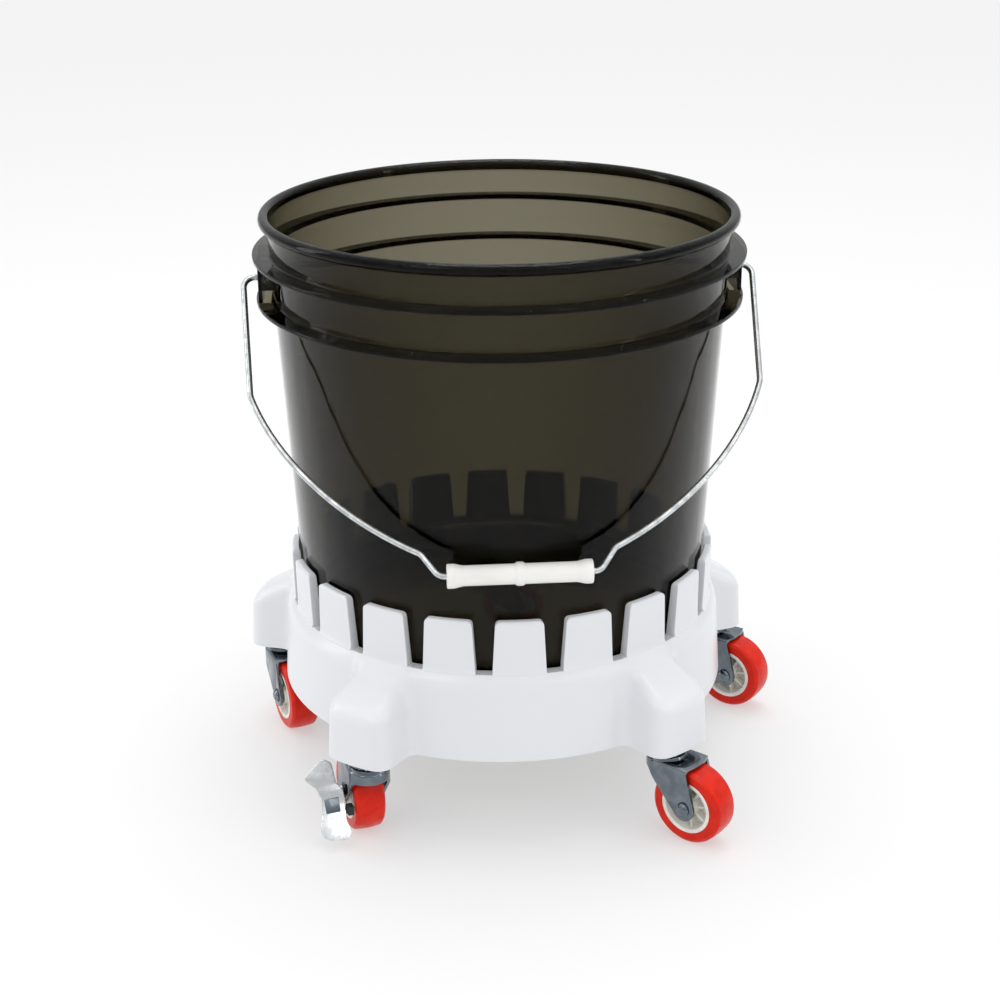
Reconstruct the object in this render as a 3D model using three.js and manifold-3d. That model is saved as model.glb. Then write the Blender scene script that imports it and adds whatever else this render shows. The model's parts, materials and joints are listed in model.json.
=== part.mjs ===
// A tapered wash bucket with a wire bail, standing in a round plastic dolly on five swivel casters.
//
// Millimetres. The origin is on the floor, below the bucket's axis. +Z is up and the front is -Y.
// The bail hangs at the front, and its pivots are on +X and -X. Every angle round the bucket is
// measured from the front towards +X.

import * as THREE from 'three';
import { mergeVertices } from 'three/addons/utils/BufferGeometryUtils.js';
import Module from 'manifold-3d';

const wasm = await Module();
wasm.setup();

// ---------------------------------------------------------------- driving sizes

const GAP = 0.3; // left between pieces that touch
const CUT = 2; // how far a cutting tool runs past the face that it cuts

const PAIL = {
  height: 273, // foot to the top of the rim
  footRadius: 131.2, // outside, at the foot
  taper: 0.0539, // radius gained per millimetre of height
  wall: 2.2,
  floorRise: 8, // underside of the floor above the foot
  floorThickness: 2.5,
  footRing: 5, // radial width of the foot
  floorFillet: 8, // inside, between floor and wall
  beadRadius: 3.6, // rolled rim
  upperFlangeDrop: 27.3, // rim top to the flange's underside
  lowerFlangeDrop: 55.5,
  flangeThickness: 2.5,
  flangeReach: 10.8, // past the wall
};

const EAR = {
  halfWidth: 20,
  plate: 2.4,
  sideWall: 2.2,
  inset: 2.2, // outer face behind the flange's edge
  pivotRise: 11, // above the lower flange
  holeClearance: 0.5,
};

const BAIL = {
  wireRadius: 1.9,
  legOutset: 10.1, // leg's top, past the ear's face
  legPastFlange: 4.1, // leg's foot, past the flange's edge
  shoulderDrop: 83, // pivot to the bend under the leg
  crankHalf: 58, // half the width where the bow ends
  crankRise: 14.6, // bow's end above the grip line
  drop: 205.2, // pivot axis to grip axis
  headRadius: 3.4, // upset ends that keep it in the ears
  headLength: 1.4,
};

const GRIP = {
  halfLength: 43.5,
  radius: 6.2,
  endRadius: 7.4,
  beadRadius: 7.2, // raised ring at mid-length
  beadHalf: 2.3,
  boreClearance: 0.4,
  wallGap: 0.5, // between the bead and the pail when the bail hangs
};

const WHEEL = {
  radius: 25,
  width: 19.6,
  crown: 0.5, // tread's fall from its middle to its shoulder
  shoulder: 2, // chamfer at the tread's edges
  treadDepth: 7.6,
  rimThickness: 2.6,
  webThickness: 3,
  bossRadius: 6.4,
};

const AXLE = { radius: 3, headRadius: 4.6, headHeight: 2.4, clearance: 0.25, bushWall: 1 };

const FORK = {
  plate: 2,
  wheelGap: 1.1, // crown above the wheel
  sideGap: 1.4, // leg beside the wheel
  trail: 21, // swivel axis to axle
  front: 13.4, // crown ahead of the swivel axis
  back: 22, // crown behind it
  legFront: 8, // leg's top ahead of the swivel axis
  bossRadius: 7.8, // leg's round end
  legShoulder: 5, // leg's straight front edge below the crown
};

const RACE = { ballHeight: 3.4, ballRadius: 12, ballWidth: 3.4, cupRadius: 14.6, cupHeight: 3.7 };

const STEM = { radius: 4, headRadius: 6.4, headHeight: 3, clearance: 0.25, pastNut: 2 };

const NUT = { acrossFlats: 13, height: 6.5 };

const DOLLY = {
  seatRise: 39.9, // skirt's bottom to the face that the pail stands on
  seatThickness: 3.5,
  seatWidth: 28,
  socketClearance: 0.8, // round the pail
  ledgeRise: 15.8, // seat to the foot of the upstands
  wall: 3,
  skirtDraft: 0.0605,
  ledgeFall: 5.2, // slope of the ledge
  ledgeWidth: 4.9, // upstand to the skirt
  ledgeRound: 1.6,
  upstands: 20,
  upstandRise: 35,
  upstandFoot: 6.4, // thickness at the foot
  upstandTop: 5.2, // thickness at the top
  slotFoot: 10.2, // gap between upstands, at the foot
  slotTop: 14.2,
  topChamfer: 1.2,
  ribs: 20,
  ribThickness: 2.4,
  ribRise: 16, // bottom of the ribs above the skirt's bottom
};

const POD = {
  outset: 12.2, // swivel axis past the skirt's bottom
  nose: 17.5, // swivel axis to the pod's outer face
  halfWidth: 23,
  cornerRadius: 9,
  draft: 0.04,
  shoulderRise: 35, // top of the outer face above the skirt's bottom
  shoulderRound: 4,
  bossRadius: 11,
  bossRise: 10,
  ribThickness: 3,
};

const BRAKE = {
  thickness: 1.5,
  outset: 1.8, // cheek past the fork's leg
  hubRadius: 6.5,
  lean: 63, // pedal's slope above level
  ahead: 19, // pedal's middle in front of the axle, level with it
  shoeAhead: 19.5, // shoe's middle in front of the axle
  shoeBelow: 1.6, // and under it
  shoeSize: 6,
  shoeGap: 0.9, // between the shoe and the tread
  nutRadius: 4.4,
  nutHeight: 3.6,
};

// The pedal's outline: up its slope from its middle, and out past the cheek's inner face.
const PEDAL = [
  [-20, 2],
  [-15, -1],
  [-7, 1],
  [-2, 0.4],
  [12, 0.4],
  [16, 4],
  [29, 5.5],
  [33, 11],
  [22, 25],
  [15, 18],
  [8, 15],
  [-2, 15.5],
  [-10, 18.5],
  [-18, 16.5],
];

// Each caster: where its pod is, the way its wheel trails, and whether it has the brake.
const CASTERS = [
  { name: 'front_right', pod: 36, trail: 47, brake: false },
  { name: 'side_right', pod: 108, trail: 52, brake: false },
  { name: 'back', pod: 180, trail: 100, brake: false },
  { name: 'side_left', pod: 252, trail: 20, brake: false },
  { name: 'front_left', pod: 324, trail: 196, brake: true },
];

// Sides that round shapes are cut into.
const SIDES = { pail: 40, wheel: 24, hub: 16, race: 14, pin: 10, grip: 14, wire: 6 };
const WIRE_STEPS = 84;

// ---------------------------------------------------------------- sizes that follow

const degrees = THREE.MathUtils.degToRad;

// Heights of a caster, from the floor up.
const crownBottom = 2 * WHEEL.radius + FORK.wheelGap;
const crownTop = crownBottom + FORK.plate;
const ballBottom = crownTop + GAP;
const cupBottom = ballBottom + RACE.ballHeight + GAP;
const dollyBottom = cupBottom + RACE.cupHeight + GAP;

const seatTop = dollyBottom + DOLLY.seatRise;
const ledgeTop = seatTop + DOLLY.ledgeRise;
const upstandTop = ledgeTop + DOLLY.upstandRise;

const pailFoot = seatTop + GAP;
const rimTop = pailFoot + PAIL.height;
const pailFloor = pailFoot + PAIL.floorRise + PAIL.floorThickness;
const upperFlange = rimTop - PAIL.upperFlangeDrop;
const lowerFlange = rimTop - PAIL.lowerFlangeDrop;
const pailRadius = (z) => PAIL.footRadius + PAIL.taper * (z - pailFoot);
const flangeRadius = (z) => pailRadius(z) + PAIL.flangeReach;

const socketRadius = (z) => pailRadius(z) + DOLLY.socketClearance;
const upstandFoot = socketRadius(ledgeTop) + DOLLY.upstandFoot;
const skirtTopRadius = upstandFoot + DOLLY.ledgeWidth;
const skirtTop = ledgeTop - DOLLY.ledgeFall;
const skirtBottomRadius = skirtTopRadius + DOLLY.skirtDraft * (skirtTop - dollyBottom);
const swivelRadius = skirtBottomRadius + POD.outset;
const podReach = swivelRadius + POD.nose;

const earFace = flangeRadius(lowerFlange) - EAR.inset;
const pivotHeight = lowerFlange + PAIL.flangeThickness + EAR.pivotRise;

const bushRadius = AXLE.radius + AXLE.clearance + AXLE.bushWall;
const hubRadius = WHEEL.radius - WHEEL.treadDepth - GAP;
const legInside = WHEEL.width / 2 + FORK.sideGap;
const legOutside = legInside + FORK.plate;
const leverInside = legOutside + BRAKE.outset;
const leverOutside = leverInside + BRAKE.thickness;

// ---------------------------------------------------------------- finishes

const finish = (color, roughness, metalness) =>
  new THREE.MeshStandardMaterial({ color, roughness, metalness });

const FINISHES = {
  smoke: new THREE.MeshStandardMaterial({
    color: 0x3a3934,
    roughness: 0.12,
    metalness: 0,
    transparent: true,
    opacity: 0.7,
  }),
  white: finish(0xeceef0, 0.3, 0),
  zinc: finish(0x8f979c, 0.3, 1),
  steel: finish(0xb4b8bb, 0.25, 1),
  red: finish(0xd9330f, 0.35, 0),
  ivory: finish(0xe6e1d6, 0.45, 0),
  black: finish(0x26282a, 0.5, 0),
};

// ---------------------------------------------------------------- geometry helpers

const point = (x, y) => new THREE.Vector2(x, y);

/** A closed geometry as a manifold solid. */
function solidOf(geometry) {
  const bare = geometry.clone();
  bare.deleteAttribute('normal');
  bare.deleteAttribute('uv');
  const merged = mergeVertices(bare, 1e-4);
  return new wasm.Manifold(
    new wasm.Mesh({
      numProp: 3,
      vertProperties: merged.attributes.position.array,
      triVerts: new Uint32Array(merged.index.array),
    }),
  );
}

/** A manifold solid as a geometry. */
function geometryOf(solid) {
  const mesh = solid.getMesh();
  const geometry = new THREE.BufferGeometry();
  geometry.setAttribute('position', new THREE.BufferAttribute(mesh.vertProperties, 3));
  geometry.setIndex(new THREE.BufferAttribute(mesh.triVerts, 1));
  geometry.computeVertexNormals();
  return geometry;
}

const join = (geometries) =>
  geometryOf(geometries.map(solidOf).reduce((whole, next) => whole.add(next)));

const cut = (geometry, tools) =>
  geometryOf(tools.map(solidOf).reduce((whole, next) => whole.subtract(next), solidOf(geometry)));

const common = (first, second) => geometryOf(solidOf(first).intersect(solidOf(second)));

/** Revolves [radius, height] pairs about Z; the outline runs up the outside. */
function turned(outline, sides) {
  const profile = outline.map(([radius, height]) => point(radius, height));
  return new THREE.LatheGeometry(profile, sides).rotateX(Math.PI / 2);
}

/** The same, for an outline that doesn't reach the axis: its end is joined to its start. */
const turnedRing = (outline, sides) => turned([...outline, outline[0]], sides);

/** A cylinder along Z, from one height to another. */
function rod(radius, from, to, sides) {
  const height = to - from;
  return new THREE.CylinderGeometry(radius, radius, height, sides)
    .rotateX(Math.PI / 2)
    .translate(0, 0, from + height / 2);
}

/** A box from its low corner to its high corner. */
function block([x0, y0, z0], [x1, y1, z1]) {
  return new THREE.BoxGeometry(x1 - x0, y1 - y0, z1 - z0).translate(
    (x0 + x1) / 2,
    (y0 + y1) / 2,
    (z0 + z1) / 2,
  );
}

/** A plan outline in X and Y, pulled up between two heights. */
function standing(shape, from, to, curveSegments = 6) {
  return new THREE.ExtrudeGeometry(shape, {
    depth: to - from,
    bevelEnabled: false,
    curveSegments,
  }).translate(0, 0, from);
}

/** A side outline in X and Z, pulled along Y between two offsets. */
function sideways(shape, from, to, curveSegments = 6) {
  return new THREE.ExtrudeGeometry(shape, {
    depth: to - from,
    bevelEnabled: false,
    curveSegments,
  })
    .rotateX(Math.PI / 2)
    .translate(0, to, 0);
}

/** Turns a geometry built along +X to an angle from the front. */
const aimed = (geometry, angle) => geometry.clone().rotateZ(degrees(angle - 90));

/** The points of an arc, for an outline. */
function arc(x, y, radius, from, to, steps) {
  return Array.from({ length: steps + 1 }, (_, i) => {
    const angle = degrees(from + ((to - from) * i) / steps);
    return [x + radius * Math.cos(angle), y + radius * Math.sin(angle)];
  });
}

const parts = new THREE.Group();

function addPart(name, geometry, material, parent = parts) {
  const mesh = new THREE.Mesh(geometry, material);
  mesh.name = name;
  parent.add(mesh);
  return mesh;
}

// ---------------------------------------------------------------- bucket

/** The flange's outline on the way up the outside of the wall. */
function flangeOutline(bottom) {
  const top = bottom + PAIL.flangeThickness;
  const edge = flangeRadius(bottom);
  return [
    [pailRadius(bottom), bottom],
    [edge, bottom],
    [edge, top],
    [pailRadius(top), top],
  ];
}

function pailWall() {
  const inside = (z) => pailRadius(z) - PAIL.wall;
  const footInner = PAIL.footRadius - PAIL.footRing;
  const underFloor = pailFoot + PAIL.floorRise;
  const beadHeight = rimTop - PAIL.beadRadius;
  const beadCentre = pailRadius(beadHeight) - PAIL.wall + PAIL.beadRadius;
  const filletTop = pailFloor + PAIL.floorFillet;
  const filletCentre = inside(filletTop) - PAIL.floorFillet;
  const outline = [
    [0, underFloor],
    [footInner - 2, underFloor],
    [footInner, pailFoot],
    [PAIL.footRadius - 1, pailFoot],
    [pailRadius(pailFoot + 1.5), pailFoot + 1.5],
    ...flangeOutline(lowerFlange),
    ...flangeOutline(upperFlange),
    [pailRadius(beadHeight - PAIL.beadRadius), beadHeight - PAIL.beadRadius],
    ...arc(beadCentre, beadHeight, PAIL.beadRadius, -60, 180, 6),
    [inside(filletTop), filletTop],
    ...arc(filletCentre, filletTop, PAIL.floorFillet, -30, -90, 2),
    [0, pailFloor],
  ];
  return turned(outline, SIDES.pail);
}

/** The walls of one ear box, on +X between the two flanges. */
function earBox() {
  const low = lowerFlange + PAIL.flangeThickness / 2;
  const high = upperFlange + PAIL.flangeThickness / 2;
  const root = pailRadius(low) - PAIL.wall / 2;
  const y = EAR.halfWidth;
  const sideInner = y - EAR.sideWall;
  return [
    block([earFace - EAR.plate, -y, low], [earFace, y, high]),
    block([root, -y, low], [earFace - EAR.plate / 2, -sideInner, high]),
    block([root, sideInner, low], [earFace - EAR.plate / 2, y, high]),
  ];
}

/** What is taken out of one ear: the bail's hole, and the lower flange inside the box. */
function earCuts() {
  const hole = rod(BAIL.wireRadius + EAR.holeClearance, -CUT, EAR.plate + CUT, SIDES.wire)
    .rotateY(Math.PI / 2)
    .translate(earFace - EAR.plate, 0, pivotHeight);
  const y = EAR.halfWidth - EAR.sideWall;
  const window = block(
    [pailRadius(lowerFlange) + 1.2, -y, lowerFlange - CUT],
    [earFace - EAR.plate, y, lowerFlange + PAIL.flangeThickness + CUT],
  );
  return [hole, window];
}

function bucketShell() {
  const turnedRound = (geometry) => geometry.clone().rotateZ(Math.PI);
  const ears = earBox();
  const whole = join([pailWall(), ...ears, ...ears.map(turnedRound)]);
  const cuts = earCuts();
  return cut(whole, [...cuts, ...cuts.map(turnedRound)]);
}

// ---------------------------------------------------------------- bail

/** How far the bail hangs below level when its grip's ring is a hair off the pail's wall. */
function bailHang() {
  const lean = Math.atan(PAIL.taper);
  const reach = pailRadius(pivotHeight) + (GRIP.beadRadius + GRIP.wallGap) / Math.cos(lean);
  return lean + Math.acos((reach / BAIL.drop) * Math.cos(lean));
}

/** A path through corners, each rounded off by its own trim. */
function roundedPath(corners) {
  const path = new THREE.CurvePath();
  let start = corners[0].at;
  for (let i = 1; i < corners.length; i += 1) {
    const { at, trim = 0 } = corners[i];
    const next = corners[i + 1];
    const before = at.clone().add(start.clone().sub(at).setLength(trim));
    path.add(new THREE.LineCurve3(start, trim ? before : at));
    if (!trim || !next) {
      start = at;
      continue;
    }
    const after = at.clone().add(next.at.clone().sub(at).setLength(trim));
    path.add(new THREE.QuadraticBezierCurve3(before, at, after));
    start = after;
  }
  return path;
}

/** The bail's wire, drawn hanging straight down from the X axis. */
function bailWire() {
  const legTop = earFace + BAIL.legOutset;
  const legFoot = flangeRadius(lowerFlange) + BAIL.legPastFlange;
  const crankDrop = BAIL.drop - BAIL.crankRise;
  const gripEnd = GRIP.halfLength + 4.5;
  const innerEnd = earFace - EAR.plate - BAIL.headLength - 1.6;
  const bow = new THREE.CubicBezierCurve(
    point(legFoot, BAIL.shoulderDrop),
    point(legFoot - 14, BAIL.shoulderDrop + 42),
    point(BAIL.crankHalf + 48, crankDrop - 24),
    point(BAIL.crankHalf, crankDrop),
  );
  const half = [
    { at: point(innerEnd, 0) },
    { at: point(legTop, 0), trim: 7 },
    { at: point(legFoot, BAIL.shoulderDrop), trim: 5 },
    ...bow.getPoints(10).slice(1, -1).map((at) => ({ at, trim: 5 })),
    { at: point(BAIL.crankHalf, crankDrop), trim: 3 },
    { at: point(gripEnd, BAIL.drop), trim: 4 },
  ];
  const placed = (side) => ({ at, trim }) => ({
    at: new THREE.Vector3(side * at.x, 0, -at.y),
    trim,
  });
  const path = roundedPath([...half.map(placed(1)), ...half.map(placed(-1)).reverse()]);
  const section = new THREE.Shape(
    arc(0, 0, BAIL.wireRadius, 0, 360, SIDES.wire).slice(0, -1).map(([x, y]) => point(x, y)),
  );
  const wire = new THREE.ExtrudeGeometry(section, { steps: WIRE_STEPS, extrudePath: path });
  const head = rod(BAIL.headRadius, 0, BAIL.headLength, SIDES.pin)
    .rotateY(Math.PI / 2)
    .translate(earFace - EAR.plate - GAP - BAIL.headLength, 0, 0);
  return join([wire, head, head.clone().rotateZ(Math.PI)]);
}

/** The sleeve round the wire, along X. */
function gripSleeve() {
  const bore = BAIL.wireRadius + GRIP.boreClearance;
  const end = GRIP.halfLength;
  const side = [
    [bore, -end],
    [GRIP.endRadius - 0.8, -end],
    [GRIP.endRadius, -end + 1],
    [GRIP.endRadius - 0.3, -end + 4],
    [GRIP.radius, -end + 10],
    [GRIP.radius, -GRIP.beadHalf - 1],
    [GRIP.beadRadius, -GRIP.beadHalf + 0.6],
  ];
  const mirrored = side.map(([radius, along]) => [radius, -along]).reverse();
  return turnedRing([...side, ...mirrored], SIDES.grip).rotateY(Math.PI / 2);
}

function addBail() {
  const bail = new THREE.Group();
  bail.position.z = pivotHeight;
  bail.rotation.x = bailHang() - Math.PI / 2;
  parts.add(bail);
  addPart('bail_wire', bailWire(), FINISHES.steel, bail);
  addPart('bail_grip', gripSleeve(), FINISHES.white, bail).position.z = -BAIL.drop;
}

// ---------------------------------------------------------------- dolly

/** The turned body: skirt, ledge, the ring of upstands, socket wall and seat. */
function dollyBody() {
  const upstandOuter = socketRadius(upstandTop) + DOLLY.upstandTop;
  const socketWall = socketRadius(seatTop) + DOLLY.wall;
  const skirtInner = (radius) => radius - DOLLY.wall;
  const seatBottom = seatTop - DOLLY.seatThickness;
  const seatInner = socketRadius(seatTop) - DOLLY.seatWidth;
  const channelTop = skirtTop - DOLLY.wall;
  return turnedRing(
    [
      [skirtBottomRadius, dollyBottom],
      [skirtTopRadius, skirtTop - DOLLY.ledgeRound],
      [skirtTopRadius - DOLLY.ledgeRound, skirtTop],
      [upstandFoot, ledgeTop - 1],
      [upstandOuter, upstandTop - DOLLY.topChamfer],
      [upstandOuter - DOLLY.topChamfer, upstandTop],
      [socketRadius(upstandTop) + DOLLY.topChamfer / 2, upstandTop],
      [socketRadius(upstandTop), upstandTop - DOLLY.topChamfer],
      [socketRadius(seatTop), seatTop],
      [seatInner, seatTop],
      [seatInner, seatBottom],
      [socketWall, seatBottom],
      [socketWall, channelTop],
      [skirtInner(skirtTopRadius), channelTop],
      [skirtInner(skirtBottomRadius), dollyBottom],
    ],
    SIDES.pail,
  );
}

/** One gap between two upstands, as a wedge along +X. */
function upstandSlot() {
  const top = upstandTop + CUT;
  const spread = (DOLLY.slotTop - DOLLY.slotFoot) / 2 / DOLLY.upstandRise;
  const topHalf = DOLLY.slotTop / 2 + spread * CUT;
  const shape = new THREE.Shape([
    point(-DOLLY.slotFoot / 2, ledgeTop),
    point(DOLLY.slotFoot / 2, ledgeTop),
    point(topHalf, top),
    point(-topHalf, top),
  ]);
  return sideways(shape, 0, DOLLY.upstandFoot + 2 * CUT)
    .rotateZ(-Math.PI / 2)
    .translate(socketRadius(ledgeTop) - CUT, 0, 0);
}

/** A pod's plan: a tongue with rounded outer corners, along +X. */
function podPlan(inner, reach, halfWidth, cornerRadius) {
  const shape = new THREE.Shape();
  shape.moveTo(inner, -halfWidth);
  shape.lineTo(reach - cornerRadius, -halfWidth);
  shape.absarc(reach - cornerRadius, -halfWidth + cornerRadius, cornerRadius, -Math.PI / 2, 0);
  shape.lineTo(reach, halfWidth - cornerRadius);
  shape.absarc(reach - cornerRadius, halfWidth - cornerRadius, cornerRadius, 0, Math.PI / 2);
  shape.lineTo(inner, halfWidth);
  shape.closePath();
  return shape;
}

/** A pod's side view: an upright outer face under a roof that slopes up to the ledge. */
function podSide(inner, reach, bottom, offset) {
  const shoulder = dollyBottom + POD.shoulderRise - offset;
  const nose = reach - POD.draft * POD.shoulderRise;
  const roofTop = skirtTop - offset;
  return new THREE.Shape([
    point(inner, bottom),
    point(reach, bottom),
    point(nose, shoulder - POD.shoulderRound),
    point(nose - POD.shoulderRound * 0.4, shoulder - POD.shoulderRound * 0.3),
    point(nose - POD.shoulderRound, shoulder + POD.shoulderRound * 0.2),
    point(skirtTopRadius - offset, roofTop),
    point(inner, roofTop),
  ]);
}

/** One pod's outer form or, with a wall's offset, the hollow inside it. */
function podForm(inner, offset, bottom) {
  const reach = podReach - offset;
  const halfWidth = POD.halfWidth - offset;
  const corner = POD.cornerRadius - offset;
  const plan = standing(podPlan(inner, reach, halfWidth, corner), bottom, ledgeTop, 4);
  const side = sideways(podSide(inner, reach, bottom, offset), -halfWidth - CUT, halfWidth + CUT);
  return common(plan, side);
}

/** The boss that the caster's stem goes through, with its four ribs to the pod's walls. */
function podBoss() {
  const top = dollyBottom + POD.bossRise;
  const half = POD.ribThickness / 2;
  const skirtInside = skirtBottomRadius - DOLLY.wall;
  return [
    rod(POD.bossRadius, dollyBottom, top, SIDES.race).translate(swivelRadius, 0, 0),
    block([skirtInside, -half, dollyBottom], [podReach - DOLLY.wall / 2, half, top]),
    block(
      [swivelRadius - half, -POD.halfWidth + DOLLY.wall / 2, dollyBottom],
      [swivelRadius + half, POD.halfWidth - DOLLY.wall / 2, top],
    ),
  ];
}

/** A radial rib under the ledge, between the socket's wall and the skirt. */
function channelRib() {
  const half = DOLLY.ribThickness / 2;
  const inner = socketRadius(seatTop) + DOLLY.wall / 2;
  const bottom = dollyBottom + DOLLY.ribRise;
  const outer = skirtTopRadius - DOLLY.wall / 2;
  return block([inner, -half, bottom], [outer, half, skirtTop - DOLLY.wall / 2]);
}

const roundTheRing = (geometry, count, first) =>
  Array.from({ length: count }, (_, i) => aimed(geometry, first + (360 * i) / count));

const atEachPod = (geometry) => CASTERS.map(({ pod }) => aimed(geometry, pod));

function dollyRing() {
  const pitch = 360 / DOLLY.upstands;
  const outer = podForm(skirtTopRadius - DOLLY.wall, 0, dollyBottom);
  const hollow = podForm(skirtTopRadius - DOLLY.wall * 1.5, DOLLY.wall, dollyBottom - CUT);
  const stemHole = rod(
    STEM.radius + STEM.clearance,
    dollyBottom - CUT,
    dollyBottom + POD.bossRise + CUT,
    SIDES.pin,
  ).translate(swivelRadius, 0, 0);
  const shell = cut(join([dollyBody(), ...atEachPod(outer)]), [
    ...atEachPod(hollow),
    ...roundTheRing(upstandSlot(), DOLLY.upstands, pitch / 2),
  ]);
  const bosses = podBoss().flatMap(atEachPod);
  const ribs = roundTheRing(channelRib(), DOLLY.ribs, pitch / 2);
  return cut(join([shell, ...bosses, ...ribs]), atEachPod(stemHole));
}

// ---------------------------------------------------------------- casters
// A caster is drawn on the floor below its swivel axis, trailing along +X, with its axle along Y.

const onAxle = (geometry) =>
  geometry.rotateX(Math.PI / 2).translate(FORK.trail, 0, WHEEL.radius);

function tread() {
  const half = WHEEL.width / 2;
  const inner = WHEEL.radius - WHEEL.treadDepth;
  const edge = WHEEL.radius - WHEEL.crown;
  return onAxle(
    turnedRing(
      [
        [inner, -half],
        [edge - WHEEL.shoulder, -half],
        [edge, -half + WHEEL.shoulder],
        [WHEEL.radius, 0],
        [edge, half - WHEEL.shoulder],
        [edge - WHEEL.shoulder, half],
        [inner, half],
      ],
      SIDES.wheel,
    ),
  );
}

function hub() {
  const half = WHEEL.width / 2;
  const web = WHEEL.webThickness / 2;
  const bore = bushRadius + AXLE.clearance;
  const rimInside = hubRadius - WHEEL.rimThickness;
  const lower = [
    [hubRadius, -half],
    [rimInside, -half],
    [rimInside, -web],
    [WHEEL.bossRadius, -web],
    [WHEEL.bossRadius, -half],
    [bore, -half],
  ].reverse();
  const upper = lower.map(([radius, along]) => [radius, -along]).reverse();
  return onAxle(turnedRing([...lower, ...upper], SIDES.hub));
}

function bush() {
  const half = legInside - GAP;
  const bore = AXLE.radius + AXLE.clearance;
  const outline = [[bore, -half], [bushRadius, -half], [bushRadius, half], [bore, half]];
  return onAxle(turnedRing(outline, SIDES.pin));
}

/** A domed rivet, or on the braked caster a longer pin for the lever and its nut. */
function axle(brake) {
  const seat = legOutside + GAP;
  const domed = [
    [AXLE.headRadius, seat],
    [AXLE.headRadius - 1.2, seat + AXLE.headHeight * 0.8],
    [0, seat + AXLE.headHeight],
  ];
  const plain = leverOutside + BRAKE.nutHeight + 2 * GAP + 1;
  const farEnd = brake
    ? [[AXLE.radius, plain], [0, plain]]
    : [[AXLE.radius, seat], ...domed];
  const nearEnd = domed.map(([radius, along]) => [radius, -along]).reverse();
  const outline = [...nearEnd, [AXLE.radius, -seat], ...farEnd];
  return onAxle(turned(outline, SIDES.pin).rotateX(Math.PI));
}

/** The crown's plan: half round in front, square behind. */
function crownPlate() {
  const shape = new THREE.Shape();
  shape.moveTo(FORK.back, -legOutside);
  shape.lineTo(FORK.back, legOutside);
  shape.lineTo(FORK.front - legOutside, legOutside);
  shape.absarc(FORK.front - legOutside, 0, legOutside, Math.PI / 2, (3 * Math.PI) / 2);
  shape.closePath();
  return standing(shape, crownBottom, crownTop, 8);
}

function legPlate(from, to) {
  const axleX = FORK.trail;
  const axleZ = WHEEL.radius;
  const shape = new THREE.Shape();
  shape.moveTo(-FORK.legFront, crownTop);
  shape.lineTo(-FORK.legFront, crownTop - FORK.legShoulder);
  shape.lineTo(axleX - FORK.bossRadius, axleZ - 1);
  shape.absarc(axleX, axleZ, FORK.bossRadius, Math.PI * 1.1, Math.PI * 2.05);
  shape.lineTo(FORK.back, crownTop);
  shape.closePath();
  return sideways(shape, from, to, 4);
}

function fork() {
  const kingpinHole = rod(
    STEM.radius + STEM.clearance,
    crownBottom - CUT,
    crownTop + CUT,
    SIDES.pin,
  );
  const axleHole = onAxle(
    rod(AXLE.radius + AXLE.clearance, -legOutside - CUT, legOutside + CUT, SIDES.pin),
  );
  const legs = [legPlate(-legOutside, -legInside), legPlate(legInside, legOutside)];
  return cut(join([crownPlate(), ...legs]), [kingpinHole, axleHole]);
}

function ballRing() {
  const inner = RACE.ballRadius - RACE.ballWidth;
  const top = ballBottom + RACE.ballHeight;
  const outline = [
    [inner, ballBottom],
    [RACE.ballRadius, ballBottom],
    [RACE.ballRadius, top],
    [inner, top],
  ];
  return turnedRing(outline, SIDES.race);
}

function topCup() {
  const inner = STEM.radius + STEM.clearance;
  const top = cupBottom + RACE.cupHeight;
  const outline = [
    [inner, cupBottom],
    [RACE.cupRadius - 1, cupBottom],
    [RACE.cupRadius, cupBottom + 1],
    [RACE.cupRadius, top],
    [inner, top],
  ];
  return turnedRing(outline, SIDES.race);
}

/** The kingpin: its head under the crown, its threaded end up through the pod's boss. */
function stem() {
  const headTop = crownBottom - GAP;
  const end = dollyBottom + POD.bossRise + 2 * GAP + NUT.height + STEM.pastNut;
  return turned(
    [
      [0, headTop - STEM.headHeight],
      [STEM.headRadius, headTop - STEM.headHeight],
      [STEM.headRadius, headTop],
      [STEM.radius, headTop],
      [STEM.radius, end - 1],
      [STEM.radius - 1, end],
      [0, end],
    ],
    SIDES.pin,
  );
}

/** A hexagon nut with a clear bore, between two heights. */
function nut(acrossFlats, boreRadius, from, to) {
  const hexagon = rod(acrossFlats / Math.sqrt(3), from, to, 6);
  return cut(hexagon, [rod(boreRadius, from - CUT, to + CUT, SIDES.pin)]);
}

function stemNut() {
  const bottom = dollyBottom + POD.bossRise + GAP;
  return nut(NUT.acrossFlats, STEM.radius + STEM.clearance, bottom, bottom + NUT.height);
}

// ---------------------------------------------------------------- brake

/** A point of the pedal's slope: how far up it, measured from its middle. */
function onPedal(along) {
  const lean = degrees(BRAKE.lean);
  return point(
    FORK.trail - BRAKE.ahead + along * Math.cos(lean),
    WHEEL.radius + along * Math.sin(lean),
  );
}

/** The waisted foot plate, leaning back in front of the wheel's side. */
function pedalPlate() {
  const outline = new THREE.Shape(PEDAL.map(([along, past]) => point(along, leverInside + past)));
  const middle = onPedal(0);
  return standing(outline, -BRAKE.thickness / 2, BRAKE.thickness / 2)
    .rotateY(degrees(-BRAKE.lean))
    .translate(middle.x, 0, middle.y);
}

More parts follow.
